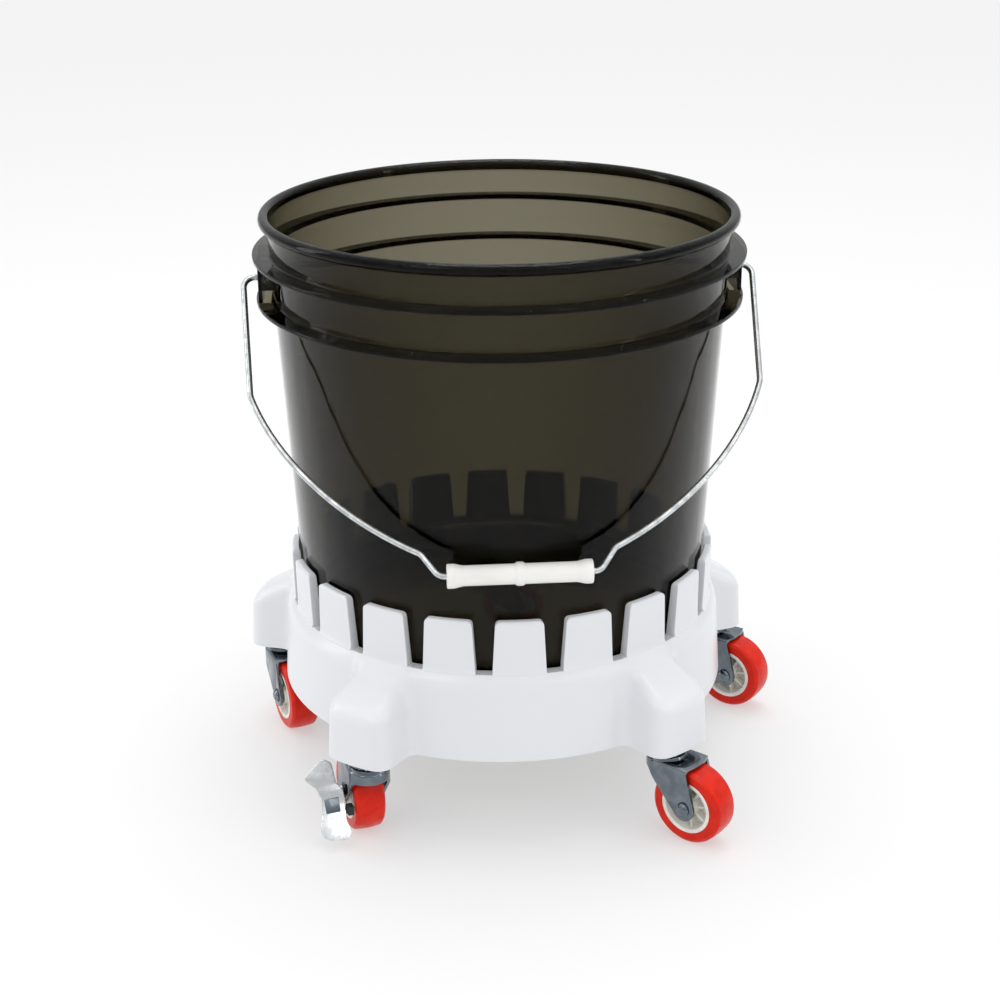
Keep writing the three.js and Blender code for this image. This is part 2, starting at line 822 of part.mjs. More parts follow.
/** A rocker on the axle's end: a cheek beside the fork's leg that carries the foot plate. */
function brakeLever() {
  const { x, y } = point(FORK.trail, WHEEL.radius);
  const radius = BRAKE.hubRadius;
  const cheek = sideways(
    new THREE.Shape([point(x, y + radius), onPedal(14), onPedal(-5), point(x, y - radius)]),
    leverInside,
    leverOutside,
  );
  const disc = onAxle(rod(radius, -leverOutside, -leverInside, SIDES.race));
  const hole = onAxle(
    rod(AXLE.radius + AXLE.clearance, -leverOutside - CUT, -leverInside + CUT, SIDES.pin),
  );
  return cut(join([cheek, pedalPlate(), disc]), [hole]);
}

/** The block behind the cheek that presses on the tread's side. */
function brakeShoe() {
  const half = BRAKE.shoeSize / 2;
  const x = FORK.trail - BRAKE.shoeAhead;
  const z = WHEEL.radius - BRAKE.shoeBelow;
  return block(
    [x - half, WHEEL.width / 2 + BRAKE.shoeGap, z - half],
    [x + half, leverInside - GAP, z + half],
  );
}

function brakeNut() {
  const from = leverOutside + GAP;
  const square = rod(BRAKE.nutRadius * Math.SQRT2, -from - BRAKE.nutHeight, -from, 4);
  const bore = rod(AXLE.radius + AXLE.clearance, -from - BRAKE.nutHeight - CUT, -from + CUT, 10);
  return onAxle(cut(square, [bore]));
}

// ---------------------------------------------------------------- assembly

function addCaster({ name, pod, trail, brake }) {
  const caster = new THREE.Group();
  const angle = degrees(pod);
  caster.position.set(swivelRadius * Math.sin(angle), -swivelRadius * Math.cos(angle), 0);
  caster.rotation.z = degrees(trail - 90);
  parts.add(caster);
  addPart(`${name}_stem`, stem(), FINISHES.zinc, caster);
  addPart(`${name}_stem_nut`, stemNut(), FINISHES.zinc, caster);
  addPart(`${name}_top_cup`, topCup(), FINISHES.zinc, caster);
  addPart(`${name}_ball_ring`, ballRing(), FINISHES.steel, caster);
  addPart(`${name}_fork`, fork(), FINISHES.zinc, caster);
  addPart(`${name}_axle`, axle(brake), FINISHES.zinc, caster);
  addPart(`${name}_bush`, bush(), FINISHES.steel, caster);
  addPart(`${name}_hub`, hub(), FINISHES.ivory, caster);
  addPart(`${name}_tread`, tread(), FINISHES.red, caster);
  if (!brake) return;
  addPart('brake_lever', brakeLever(), FINISHES.zinc, caster);
  addPart('brake_shoe', brakeShoe(), FINISHES.black, caster);
  addPart('brake_nut', brakeNut(), FINISHES.zinc, caster);
}

addPart('bucket_shell', bucketShell(), FINISHES.smoke);
addBail();
addPart('dolly_ring', dollyRing(), FINISHES.white);
CASTERS.forEach(addCaster);

export default parts;
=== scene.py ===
"""Looks of a tapered wash bucket with a wire bail, standing in a dolly on five swivel casters.

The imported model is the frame: every piece is drawn in millimetres round a place that the frame
gives, and its mesh is stored in metres in the same axes. The front is -Y and +Z is up.
"""

import json
import logging
import math
from dataclasses import dataclass
from enum import Enum
from typing import Callable, Iterable, Optional, Sequence, Union

import bmesh
import bpy
import numpy as np
from mathutils import Matrix, Vector


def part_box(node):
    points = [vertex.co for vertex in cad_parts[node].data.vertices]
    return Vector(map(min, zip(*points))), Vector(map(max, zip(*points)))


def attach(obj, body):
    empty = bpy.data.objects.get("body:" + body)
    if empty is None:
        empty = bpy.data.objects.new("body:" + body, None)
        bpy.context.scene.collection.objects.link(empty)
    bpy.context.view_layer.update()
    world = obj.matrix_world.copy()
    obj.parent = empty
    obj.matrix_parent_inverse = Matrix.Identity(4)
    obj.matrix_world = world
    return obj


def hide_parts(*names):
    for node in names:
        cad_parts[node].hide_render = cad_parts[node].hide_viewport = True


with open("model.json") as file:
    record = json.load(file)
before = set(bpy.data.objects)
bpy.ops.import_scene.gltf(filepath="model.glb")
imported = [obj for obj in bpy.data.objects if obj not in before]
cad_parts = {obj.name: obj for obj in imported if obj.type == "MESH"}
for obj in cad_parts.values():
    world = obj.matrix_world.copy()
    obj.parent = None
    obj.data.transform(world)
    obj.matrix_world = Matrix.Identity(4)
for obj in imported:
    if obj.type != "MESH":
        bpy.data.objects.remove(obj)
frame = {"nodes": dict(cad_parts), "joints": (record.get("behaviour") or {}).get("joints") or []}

LOG = logging.getLogger("wash_bucket")
MM = 0.001
# Points closer than this are one point, in the unit that they are given in.
SAME = 1e-6
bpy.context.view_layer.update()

Point = tuple[float, float]
NodeValue = Union[bpy.types.NodeSocket, float, int, tuple, str, bpy.types.Material]


class Axis(Enum):
    """The way a turned shape's axis points, in the shape's own drawing."""

    UP = "up"
    ALONG_X = "along_x"
    ALONG_Y = "along_y"


class Cut(Enum):
    """What a tool body does to the body that it meets."""

    ADD = "UNION"
    TAKE = "DIFFERENCE"
    KEEP = "INTERSECT"


# ---------------------------------------------------------------- colour and nodes


def linear(hex_colour: str) -> tuple[float, float, float, float]:
    """Turn an sRGB hex colour into the linear one that shaders read.

    Args:
        hex_colour: Six hex digits after a hash.

    Returns:
        Red, green, blue and an alpha of one.
    """
    shares = [int(hex_colour[i : i + 2], 16) / 255 for i in (1, 3, 5)]
    red, green, blue = (
        share / 12.92 if share <= 0.04045 else ((share + 0.055) / 1.055) ** 2.4
        for share in shares
    )
    return red, green, blue, 1.0


def add_node(
    tree: bpy.types.NodeTree,
    kind: str,
    values: Optional[dict[Union[str, int], NodeValue]] = None,
    **settings: Union[str, bool, float],
) -> bpy.types.Node:
    """Add one node with its settings, its fixed inputs and its links.

    Args:
        tree: The tree that gets the node.
        kind: The node's type name.
        values: Input name or number to a fixed value, or to the output that feeds it.
        **settings: The node's own settings.

    Returns:
        The new node.
    """
    node = tree.nodes.new(kind)
    for name, value in settings.items():
        setattr(node, name, value)
    for socket, value in (values or {}).items():
        if isinstance(value, bpy.types.NodeSocket):
            tree.links.new(value, node.inputs[socket])
        else:
            node.inputs[socket].default_value = value
    return node


def blank_material(name: str) -> tuple[bpy.types.Material, bpy.types.NodeTree]:
    """Make a material with an empty node tree."""
    material = bpy.data.materials.new(name)
    material.use_nodes = True
    material.node_tree.nodes.clear()
    return material, material.node_tree


def stretched_noise(
    tree: bpy.types.NodeTree, period_mm: tuple[float, float, float], detail: float
) -> bpy.types.NodeSocket:
    """Add noise on the object's own coordinates, with a real size along each axis.

    Args:
        tree: The material's tree.
        period_mm: The size of one patch along X, Y and Z.
        detail: How much finer structure the noise has.

    Returns:
        The noise value's output.
    """
    scale = tuple(1 / (size * MM) for size in period_mm)
    coordinates = add_node(tree, "ShaderNodeTexCoord")
    mapping = add_node(
        tree,
        "ShaderNodeMapping",
        {"Vector": coordinates.outputs["Object"], "Scale": scale},
    )
    noise = add_node(
        tree,
        "ShaderNodeTexNoise",
        {"Vector": mapping.outputs[0], "Scale": 1.0, "Detail": detail},
    )
    return noise.outputs[0]


def spread(
    tree: bpy.types.NodeTree, value: bpy.types.NodeSocket, low: float, high: float
) -> bpy.types.NodeSocket:
    """Spread the middle of a noise value, where most of it lies, over a range."""
    least, most = 0.3, 0.7
    mapped = add_node(
        tree,
        "ShaderNodeMapRange",
        {"Value": value, "From Min": least, "From Max": most, "To Min": low, "To Max": high},
        interpolation_type="SMOOTHSTEP",
    )
    return mapped.outputs[0]


def two_tone(
    tree: bpy.types.NodeTree, value: bpy.types.NodeSocket, first: str, second: str
) -> bpy.types.NodeSocket:
    """Blend two colours by a noise value."""
    mix = add_node(
        tree,
        "ShaderNodeMix",
        {0: spread(tree, value, 0, 1), 6: linear(first), 7: linear(second)},
        data_type="RGBA",
    )
    return mix.outputs[2]


@dataclass(frozen=True)
class Finish:
    """An opaque finish: two close tones, a range of gloss and a fine relief.

    Args:
        name: What the material is and how its surface was made.
        tone: The main colour.
        second_tone: The colour that it drifts towards.
        roughness: The least and the most roughness.
        metallic: One for metal, zero for plastic.
        drift_mm: The size of the colour patches along X, Y and Z.
        grain_mm: The size of the relief along X, Y and Z.
        grain_depth_mm: The relief's depth.
        ior: Index of refraction, for plastics.
        glow_through: Share of light that goes some way into the plastic.
        glow_mm: How far it goes.
    """

    name: str
    tone: str
    second_tone: str
    roughness: tuple[float, float]
    metallic: float = 0.0
    drift_mm: tuple[float, float, float] = (30, 30, 30)
    grain_mm: tuple[float, float, float] = (1.5, 1.5, 1.5)
    grain_depth_mm: float = 0.02
    ior: float = 1.5
    glow_through: float = 0.0
    glow_mm: float = 1.0

    def build(self) -> bpy.types.Material:
        """Make the material."""
        material, tree = blank_material(self.name)
        drift = stretched_noise(tree, self.drift_mm, 2.0)
        grain = stretched_noise(tree, self.grain_mm, 3.0)
        relief = add_node(
            tree,
            "ShaderNodeBump",
            {"Height": grain, "Strength": 1.0, "Distance": self.grain_depth_mm * MM},
        )
        shader = add_node(
            tree,
            "ShaderNodeBsdfPrincipled",
            {
                "Base Color": two_tone(tree, drift, self.tone, self.second_tone),
                "Roughness": spread(tree, drift, *self.roughness),
                "Metallic": self.metallic,
                "Normal": relief.outputs[0],
            },
        )
        if not self.metallic:
            shader.inputs["IOR"].default_value = self.ior
        if self.glow_through:
            shader.inputs["Subsurface Weight"].default_value = self.glow_through
            shader.inputs["Subsurface Radius"].default_value = (1.0, 0.5, 0.4)
            shader.inputs["Subsurface Scale"].default_value = self.glow_mm * MM
        add_node(tree, "ShaderNodeOutputMaterial", {"Surface": shader.outputs[0]})
        return material


@dataclass(frozen=True)
class SmokePlastic:
    """Smoke-tinted clear polypropylene, injection moulded, with faint vertical flow lines.

    The wall takes light away as it passes, so one wall looks olive, two look nearly black, and a
    flange seen edge on is darker still.

    Args:
        name: The material's name.
        passed: The colour that the plastic lets through.
        density: How strongly it takes light, per metre.
        ior: Index of refraction.
        roughness: The least and the most roughness.
        flow_mm: The size of the flow lines round and up the wall.
        flow_depth_mm: Their depth.
    """

    name: str = "smoke_clear_polypropylene_moulded"
    passed: str = "#ADA894"
    density: float = 1290.0
    ior: float = 1.24
    roughness: tuple[float, float] = (0.02, 0.06)
    flow_mm: tuple[float, float, float] = (14, 14, 160)
    flow_depth_mm: float = 0.2

    def build(self) -> bpy.types.Material:
        """Make the material."""
        material, tree = blank_material(self.name)
        flow = stretched_noise(tree, self.flow_mm, 1.0)
        relief = add_node(
            tree,
            "ShaderNodeBump",
            {"Height": flow, "Strength": 1.0, "Distance": self.flow_depth_mm * MM},
        )
        shader = add_node(
            tree,
            "ShaderNodeBsdfPrincipled",
            {
                "Base Color": linear("#FBFAF4"),
                "Roughness": spread(tree, flow, *self.roughness),
                "IOR": self.ior,
                "Transmission Weight": 1.0,
                "Normal": relief.outputs[0],
            },
        )
        inside = add_node(
            tree,
            "ShaderNodeVolumeAbsorption",
            {"Color": linear(self.passed), "Density": self.density},
        )
        add_node(
            tree,
            "ShaderNodeOutputMaterial",
            {"Surface": shader.outputs[0], "Volume": inside.outputs[0]},
        )
        return material


class Finishes:
    """Every finish of the object, each built once."""

    def __init__(self) -> None:
        """Build the materials."""
        self.smoke = SmokePlastic().build()
        # Glossy white moulding: cool, with soft highlights and a faint orange peel.
        self.white = Finish(
            name="white_polypropylene_moulded",
            tone="#E0E2E6",
            second_tone="#E0E2E6",
            roughness=(0.26, 0.27),
            drift_mm=(60, 60, 40),
            grain_mm=(1.2, 1.2, 1.2),
            grain_depth_mm=0.006,
        ).build()
        # The grip is the same plastic, but a touch warmer, and scuffed duller where it is held.
        self.grip = Finish(
            name="white_polypropylene_grip",
            tone="#F0EFEC",
            second_tone="#E8E7E3",
            roughness=(0.3, 0.4),
            drift_mm=(30, 12, 12),
            grain_mm=(0.8, 0.8, 0.8),
            grain_depth_mm=0.006,
        ).build()
        # Bright steel wire, drawn and then galvanised: even, with a soft frosty sheen.
        self.wire = Finish(
            name="galvanised_drawn_steel_wire",
            tone="#DADDDF",
            second_tone="#B4B8BB",
            roughness=(0.18, 0.34),
            metallic=1.0,
            drift_mm=(5, 5, 5),
            grain_mm=(0.5, 0.5, 3),
            grain_depth_mm=0.01,
        ).build()
        # Pressed steel with blue-passivated zinc: dark blue-grey reflections, mottled sheen.
        self.zinc = Finish(
            name="zinc_plated_pressed_steel",
            tone="#7F878E",
            second_tone="#69727A",
            roughness=(0.1, 0.2),
            metallic=1.0,
            drift_mm=(9, 9, 9),
            grain_mm=(0.7, 0.7, 2.0),
            grain_depth_mm=0.012,
        ).build()
        # The same plating as the zinc above, painted near white: a painted highlight over the whole
        # lever, with soft blotches.
        self.zinc_painted_highlight = Finish(
            name="zinc_plated_steel_painted_highlight",
            tone="#F2F4F5",
            second_tone="#D3D8DB",
            roughness=(0.1, 0.26),
            metallic=1.0,
            drift_mm=(4, 4, 4),
            grain_mm=(0.9, 0.9, 0.9),
            grain_depth_mm=0.03,
        ).build()
        # Cast polyurethane: saturated, slightly see-into, with a skin gloss and tiny scuffs.
        self.tread = Finish(
            name="red_cast_polyurethane",
            tone="#DC2409",
            second_tone="#CB1B05",
            roughness=(0.24, 0.36),
            ior=1.3,
            drift_mm=(7, 7, 7),
            grain_mm=(1.2, 1.2, 1.2),
            grain_depth_mm=0.02,
            glow_through=0.1,
            glow_mm=2.0,
        ).build()
        # Uncoloured moulding: ivory, duller than the dolly, and even.
        self.hub = Finish(
            name="ivory_polypropylene_moulded",
            tone="#EFEDE8",
            second_tone="#DEDAD0",
            roughness=(0.35, 0.55),
            drift_mm=(6, 6, 6),
            grain_mm=(0.8, 0.8, 0.8),
            grain_depth_mm=0.02,
        ).build()
        # Hard moulded rubber: a dull, slightly dusty black.
        self.rubber = Finish(
            name="black_moulded_rubber",
            tone="#1C1D1F",
            second_tone="#26282A",
            roughness=(0.5, 0.75),
            drift_mm=(4, 4, 4),
            grain_mm=(0.6, 0.6, 0.6),
            grain_depth_mm=0.04,
        ).build()


# ---------------------------------------------------------------- outlines and meshes


def rounded_outline(
    corners: Sequence[tuple[float, float, float]], steps: int = 5, closed: bool = True
) -> list[Point]:
    """Round the corners of an outline.

    Args:
        corners: For each corner its two coordinates and its radius.
        steps: Segments in each rounded corner.
        closed: Whether the last corner joins the first.

    Returns:
        The outline's points, in the same order.
    """
    points: list[Point] = []
    count = len(corners)
    for i, (x, y, radius) in enumerate(corners):
        here = Vector((x, y))
        if radius <= 0 or (not closed and i in (0, count - 1)):
            points.append((x, y))
            continue
        back = (Vector(corners[i - 1][:2]) - here).normalized()
        ahead = (Vector(corners[(i + 1) % count][:2]) - here).normalized()
        half = back.angle(ahead) / 2
        reach = radius / math.tan(half)
        start, end = here + back * reach, here + ahead * reach
        centre = here + (back + ahead).normalized() * (radius / math.sin(half))
        first = start - centre
        turn = first.angle_signed(end - centre)
        for step in range(steps + 1):
            spoke = first.copy()
            spoke.rotate(Matrix.Rotation(-turn * step / steps, 2))
            points.append(tuple(centre + spoke))
    return points


def arc(x: float, y: float, radius: float, start: float, end: float, steps: int) -> list[Point]:
    """The points of an arc, with its angles in degrees."""
    turns = [math.radians(start + (end - start) * i / steps) for i in range(steps + 1)]
    return [(x + radius * math.cos(turn), y + radius * math.sin(turn)) for turn in turns]


def grid_faces(rows: int, columns: int, rows_close: bool) -> list[tuple[int, ...]]:
    """Quads over rows of points, each row closed on itself.

    Args:
        rows: Number of rows.
        columns: Points in each row.
        rows_close: Whether the last row joins the first.

    Returns:
        The faces, as point numbers.
    """
    faces = []
    for row in range(rows if rows_close else rows - 1):
        here, there = row * columns, (row + 1) % rows * columns
        for column in range(columns):
            beside = (column + 1) % columns
            faces.append((here + column, here + beside, there + beside, there + column))
    return faces


def mesh_of(name: str, points: Iterable[Sequence[float]], faces: Iterable) -> bpy.types.Mesh:
    """Make a mesh from points in millimetres, with its faces turned outwards."""
    mesh = bpy.data.meshes.new(name)
    mesh.from_pydata([tuple(float(c) * MM for c in point) for point in points], [], list(faces))
    shape = bmesh.new()
    shape.from_mesh(mesh)
    bmesh.ops.recalc_face_normals(shape, faces=shape.faces)
    shape.to_mesh(mesh)
    shape.free()
    return mesh


def turned(
    outline: Sequence[Point], sides: int, axis: Axis = Axis.UP, name: str = "turned"
) -> bpy.types.Mesh:
    """Turn an outline of radius and height about an axis.

    Args:
        outline: Radius and height of each point. Where both its ends have no radius the shape is
            closed by those two poles, and otherwise its end is joined to its start.
        sides: Points round the axis.
        axis: Where the axis points.
        name: The mesh's name.

    Returns:
        The closed mesh.
    """
    solid = outline[0][0] < SAME and outline[-1][0] < SAME
    rings = outline[1:-1] if solid else outline
    angles = np.arange(sides) * 2 * math.pi / sides
    points = [
        (radius * math.cos(angle), radius * math.sin(angle), height)
        for radius, height in rings
        for angle in angles
    ]
    faces = grid_faces(len(rings), sides, not solid)
    if solid:
        poles = (len(points), len(points) + 1)
        points += [(0, 0, outline[0][1]), (0, 0, outline[-1][1])]
        last = (len(rings) - 1) * sides
        for i in range(sides):
            faces.append((poles[0], (i + 1) % sides, i))
            faces.append((poles[1], last + i, last + (i + 1) % sides))
    mesh = mesh_of(name, points, faces)
    if axis is Axis.ALONG_X:
        mesh.transform(Matrix.Rotation(math.pi / 2, 4, "Y"))
    if axis is Axis.ALONG_Y:
        mesh.transform(Matrix.Rotation(math.pi / 2, 4, "X"))
    return mesh


def prism(outline: Sequence[Point], low: float, high: float, name: str = "prism") -> bpy.types.Mesh:
    """Pull an outline in X and Y up between two heights."""
    count = len(outline)
    points = [(x, y, z) for z in (low, high) for x, y in outline]
    faces = grid_faces(2, count, False)
    faces.append(tuple(reversed(range(count))))
    faces.append(tuple(range(count, 2 * count)))
    return mesh_of(name, points, faces)


def side_prism(
    outline: Sequence[Point], low: float, high: float, name: str = "prism"
) -> bpy.types.Mesh:
    """Pull an outline in X and Z along Y between two offsets."""
    mesh = prism(outline, -high, -low, name)
    mesh.transform(Matrix.Rotation(math.pi / 2, 4, "X"))
    return mesh


def box_mesh(low: Sequence[float], high: Sequence[float], name: str = "box") -> bpy.types.Mesh:
    """A box between two corners, in millimetres."""
    outline = [(low[0], low[1]), (high[0], low[1]), (high[0], high[1]), (low[0], high[1])]
    return prism(outline, low[2], high[2], name)


def sliced(shape: bmesh.types.BMesh, spot: Sequence[float], normal: Sequence[float]) -> None:
    """Cut every face of a shape that a plane crosses, and keep both sides."""
    bmesh.ops.bisect_plane(
        shape,
        geom=[*shape.verts, *shape.edges, *shape.faces],
        dist=SAME,
        plane_co=spot,
        plane_no=normal,
    )


def bevelled(
    mesh: bpy.types.Mesh,
    width: float,
    steps: int,
    chosen: Callable[[bmesh.types.BMEdge], bool] = lambda edge: True,
) -> bpy.types.Mesh:
    """Round a mesh's sharp edges.

    Args:
        mesh: The mesh, which is changed.
        width: How far back from the edge the rounding starts, in millimetres.
        steps: Segments across the rounding.
        chosen: Which of the sharp edges are rounded.

    Returns:
        The same mesh.
    """
    shape = bmesh.new()
    shape.from_mesh(mesh)
    bmesh.ops.remove_doubles(shape, verts=shape.verts, dist=SAME)
    bmesh.ops.dissolve_limit(
        shape, angle_limit=math.radians(1), verts=shape.verts, edges=shape.edges
    )
    sharp = [
        edge
        for edge in shape.edges
        if len(edge.link_faces) == 2
        and edge.calc_face_angle(0) > math.radians(35)
        and chosen(edge)
    ]
    bmesh.ops.bevel(
        shape,
        geom=sharp,
        offset=width * MM,
        segments=steps,
        profile=0.5,
        affect="EDGES",
        clamp_overlap=True,
    )
    shape.to_mesh(mesh)
    shape.free()
    return mesh


def merged(meshes: Sequence[bpy.types.Mesh], name: str) -> bpy.types.Mesh:
    """Put several closed meshes into one, side by side."""
    shape = bmesh.new()
    for mesh in meshes:
        shape.from_mesh(mesh)
    whole = bpy.data.meshes.new(name)
    shape.to_mesh(whole)
    shape.free()
    return whole


def cut_with(
    mesh: bpy.types.Mesh, tools: Sequence[bpy.types.Mesh], operation: Cut
) -> bpy.types.Mesh:
    """Join, cut or keep a mesh with closed tool bodies, one after another.

    Args:
        mesh: The body to start from.
        tools: The tool bodies.
        operation: What the tools do to it.

    Returns:
        The new mesh.
    """
    body = bpy.data.objects.new("body_in_work", mesh)
    bpy.context.scene.collection.objects.link(body)
    for tool in tools:
        helper = bpy.data.objects.new("tool_in_work", tool)
        bpy.context.scene.collection.objects.link(helper)
        modifier = body.modifiers.new("cut", "BOOLEAN")
        modifier.operation = operation.value
        modifier.solver = "EXACT"
        modifier.object = helper
        body.data = settled_mesh(body)
        body.modifiers.clear()
        bpy.data.objects.remove(helper)
    result = body.data
    bpy.data.objects.remove(body)
    return result


def settled_mesh(thing: bpy.types.Object) -> bpy.types.Mesh:
    """The plain mesh that an object's modifiers make."""
    graph = bpy.context.evaluated_depsgraph_get()
    return bpy.data.meshes.new_from_object(
        thing.evaluated_get(graph), preserve_all_data_layers=True, depsgraph=graph
    )


def moved(mesh: bpy.types.Mesh, placement: Matrix) -> bpy.types.Mesh:
    """Move a mesh by a placement in metres."""
    mesh.transform(placement)
    return mesh


@dataclass
class Piece:
    """One finished piece of the visual model.

    Args:
        name: The piece's name.
        mesh: Its mesh, in place.
        finish: Its material.
        body: The CAD body that it rides on.
        slot: The record's material slot; not used.
        stands_for: The CAD nodes that it replaces.
        smooth_below: Edges flatter than this, in degrees, are shaded smooth.
    """

    name: str
    mesh: bpy.types.Mesh
    finish: bpy.types.Material
    body: str
    slot: str
    stands_for: tuple[str, ...] = ()
    smooth_below: float = 34.0

    def place(self) -> bpy.types.Object:
        """Put the piece in the scene, hang it on its body and hide the CAD nodes that it stands
        for.
        """
        self.mesh.name = self.name
        self.mesh.materials.clear()
        self.mesh.materials.append(self.finish)
        self.mesh.shade_smooth()
        self.mesh.set_sharp_from_angle(angle=math.radians(self.smooth_below))
        thing = bpy.data.objects.new(self.name, self.mesh)
        bpy.context.scene.collection.objects.link(thing)
        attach(thing, self.body)
        if self.stands_for:
            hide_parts(*self.stands_for)
        LOG.info("%s: %d faces on %s", self.name, len(self.mesh.polygons), self.body)
        return thing


def dress_node(node: str, finish: bpy.types.Material) -> None:
    """Give a CAD node that stays its finish.

    Args:
        node: The node's name.
        finish: The material for its slots.
    """
    thing = frame["nodes"][node]
    for slot in thing.material_slots:
        slot.material = finish
    LOG.info("%s: keeps its CAD mesh, as %s", node, finish.name)


# ---------------------------------------------------------------- geometry node trees


def ring_tree() -> bpy.types.NodeTree:
    """A tree that repeats its shape round Z, with the count and the first angle as inputs."""
    tree = bpy.data.node_groups.new("copies_round_the_axis", "GeometryNodeTree")
    sockets = tree.interface
    sockets.new_socket(name="Geometry", in_out="INPUT", socket_type="NodeSocketGeometry")
    sockets.new_socket(name="Count", in_out="INPUT", socket_type="NodeSocketInt")
    sockets.new_socket(name="First angle", in_out="INPUT", socket_type="NodeSocketFloat")
    sockets.new_socket(name="Finish", in_out="INPUT", socket_type="NodeSocketMaterial")
    sockets.new_socket(name="Geometry", in_out="OUTPUT", socket_type="NodeSocketGeometry")
    given = add_node(tree, "NodeGroupInput")
    spots = add_node(tree, "GeometryNodePoints", {"Count": given.outputs["Count"]})
    number = add_node(tree, "GeometryNodeInputIndex")
    share = add_node(
        tree,
        "ShaderNodeMath",
        {0: number.outputs[0], 1: given.outputs["Count"]},
        operation="DIVIDE",
    )
    angle = add_node(
        tree,
        "ShaderNodeMath",
        {0: share.outputs[0], 1: 2 * math.pi, 2: given.outputs["First angle"]},
        operation="MULTIPLY_ADD",
    )
    turn = add_node(tree, "ShaderNodeCombineXYZ", {"Z": angle.outputs[0]})
    copies = add_node(
        tree,
        "GeometryNodeInstanceOnPoints",
        {
            "Points": spots.outputs[0],
            "Instance": given.outputs["Geometry"],
            "Rotation": turn.outputs[0],
        },
    )
    real = add_node(tree, "GeometryNodeRealizeInstances", {"Geometry": copies.outputs[0]})
    dressed = add_node(
        tree,
        "GeometryNodeSetMaterial",
        {"Geometry": real.outputs[0], "Material": given.outputs["Finish"]},
    )
    add_node(tree, "NodeGroupOutput", {0: dressed.outputs[0]})
    return tree


def wire_tree() -> bpy.types.NodeTree:
    """A tree that sweeps a round section along a path, with the radius and sides as inputs."""
    tree = bpy.data.node_groups.new("wire_along_a_path", "GeometryNodeTree")
    sockets = tree.interface
    sockets.new_socket(name="Geometry", in_out="INPUT", socket_type="NodeSocketGeometry")
    sockets.new_socket(name="Radius", in_out="INPUT", socket_type="NodeSocketFloat")
    sockets.new_socket(name="Sides", in_out="INPUT", socket_type="NodeSocketInt")
    sockets.new_socket(name="Finish", in_out="INPUT", socket_type="NodeSocketMaterial")
    sockets.new_socket(name="Geometry", in_out="OUTPUT", socket_type="NodeSocketGeometry")
    given = add_node(tree, "NodeGroupInput")
    path = add_node(tree, "GeometryNodeMeshToCurve", {"Mesh": given.outputs["Geometry"]})
    section = add_node(
        tree,
        "GeometryNodeCurvePrimitiveCircle",
        {"Resolution": given.outputs["Sides"], "Radius": given.outputs["Radius"]},
    )
    swept = add_node(
        tree,
        "GeometryNodeCurveToMesh",
        {"Curve": path.outputs[0], "Profile Curve": section.outputs[0], "Fill Caps": True},
    )
    real = add_node(tree, "GeometryNodeRealizeInstances", {"Geometry": swept.outputs[0]})
    dressed = add_node(
        tree,
        "GeometryNodeSetMaterial",
        {"Geometry": real.outputs[0], "Material": given.outputs["Finish"]},
    )
    add_node(tree, "NodeGroupOutput", {0: dressed.outputs[0]})
    return tree


def grown(
    mesh: bpy.types.Mesh, tree: bpy.types.NodeTree, inputs: dict[str, NodeValue]
) -> bpy.types.Mesh:
    """Run a tree on a mesh and keep the plain mesh that it makes.

    Args:
        mesh: What the tree starts from.
        tree: The tree.
        inputs: Input name to value.

    Returns:
        The tree's result, with its instances made real.
    """
    seed = bpy.data.objects.new("seed_in_work", mesh)
    bpy.context.scene.collection.objects.link(seed)
    modifier = seed.modifiers.new("grow", "NODES")
    modifier.node_group = tree
    for item in tree.interface.items_tree:
        if item.in_out == "INPUT" and item.name in inputs:
            modifier[item.identifier] = inputs[item.name]
    result = settled_mesh(seed)
    seed.modifiers.clear()
    bpy.data.objects.remove(seed)
    return result


class Growers:
    """The trees that repeat and sweep shapes, each built once."""

    def __init__(self, finishes: Finishes) -> None:
        """Build the trees."""
        self.finishes = finishes
        self.ring = ring_tree()
        self.wire = wire_tree()

    def round_the_axis(
        self, mesh: bpy.types.Mesh, count: int, first: float = 0.0
    ) -> bpy.types.Mesh:
        """Copies of a shape round Z, the first one turned by an angle in degrees."""
        inputs = {"Count": count, "First angle": math.radians(first), "Finish": self.finishes.white}
        return grown(mesh, self.ring, inputs)

    def along(self, path: Sequence[Vector], radius: float, sides: int) -> bpy.types.Mesh:
        """A round wire along a path in metres, with its radius in millimetres."""
        line = bpy.data.meshes.new("path")
        links = [(i, i + 1) for i in range(len(path) - 1)]
        line.from_pydata([tuple(spot) for spot in path], links, [])
        inputs = {"Radius": radius * MM, "Sides": sides, "Finish": self.finishes.wire}
        return grown(line, self.wire, inputs)


# ---------------------------------------------------------------- bucket


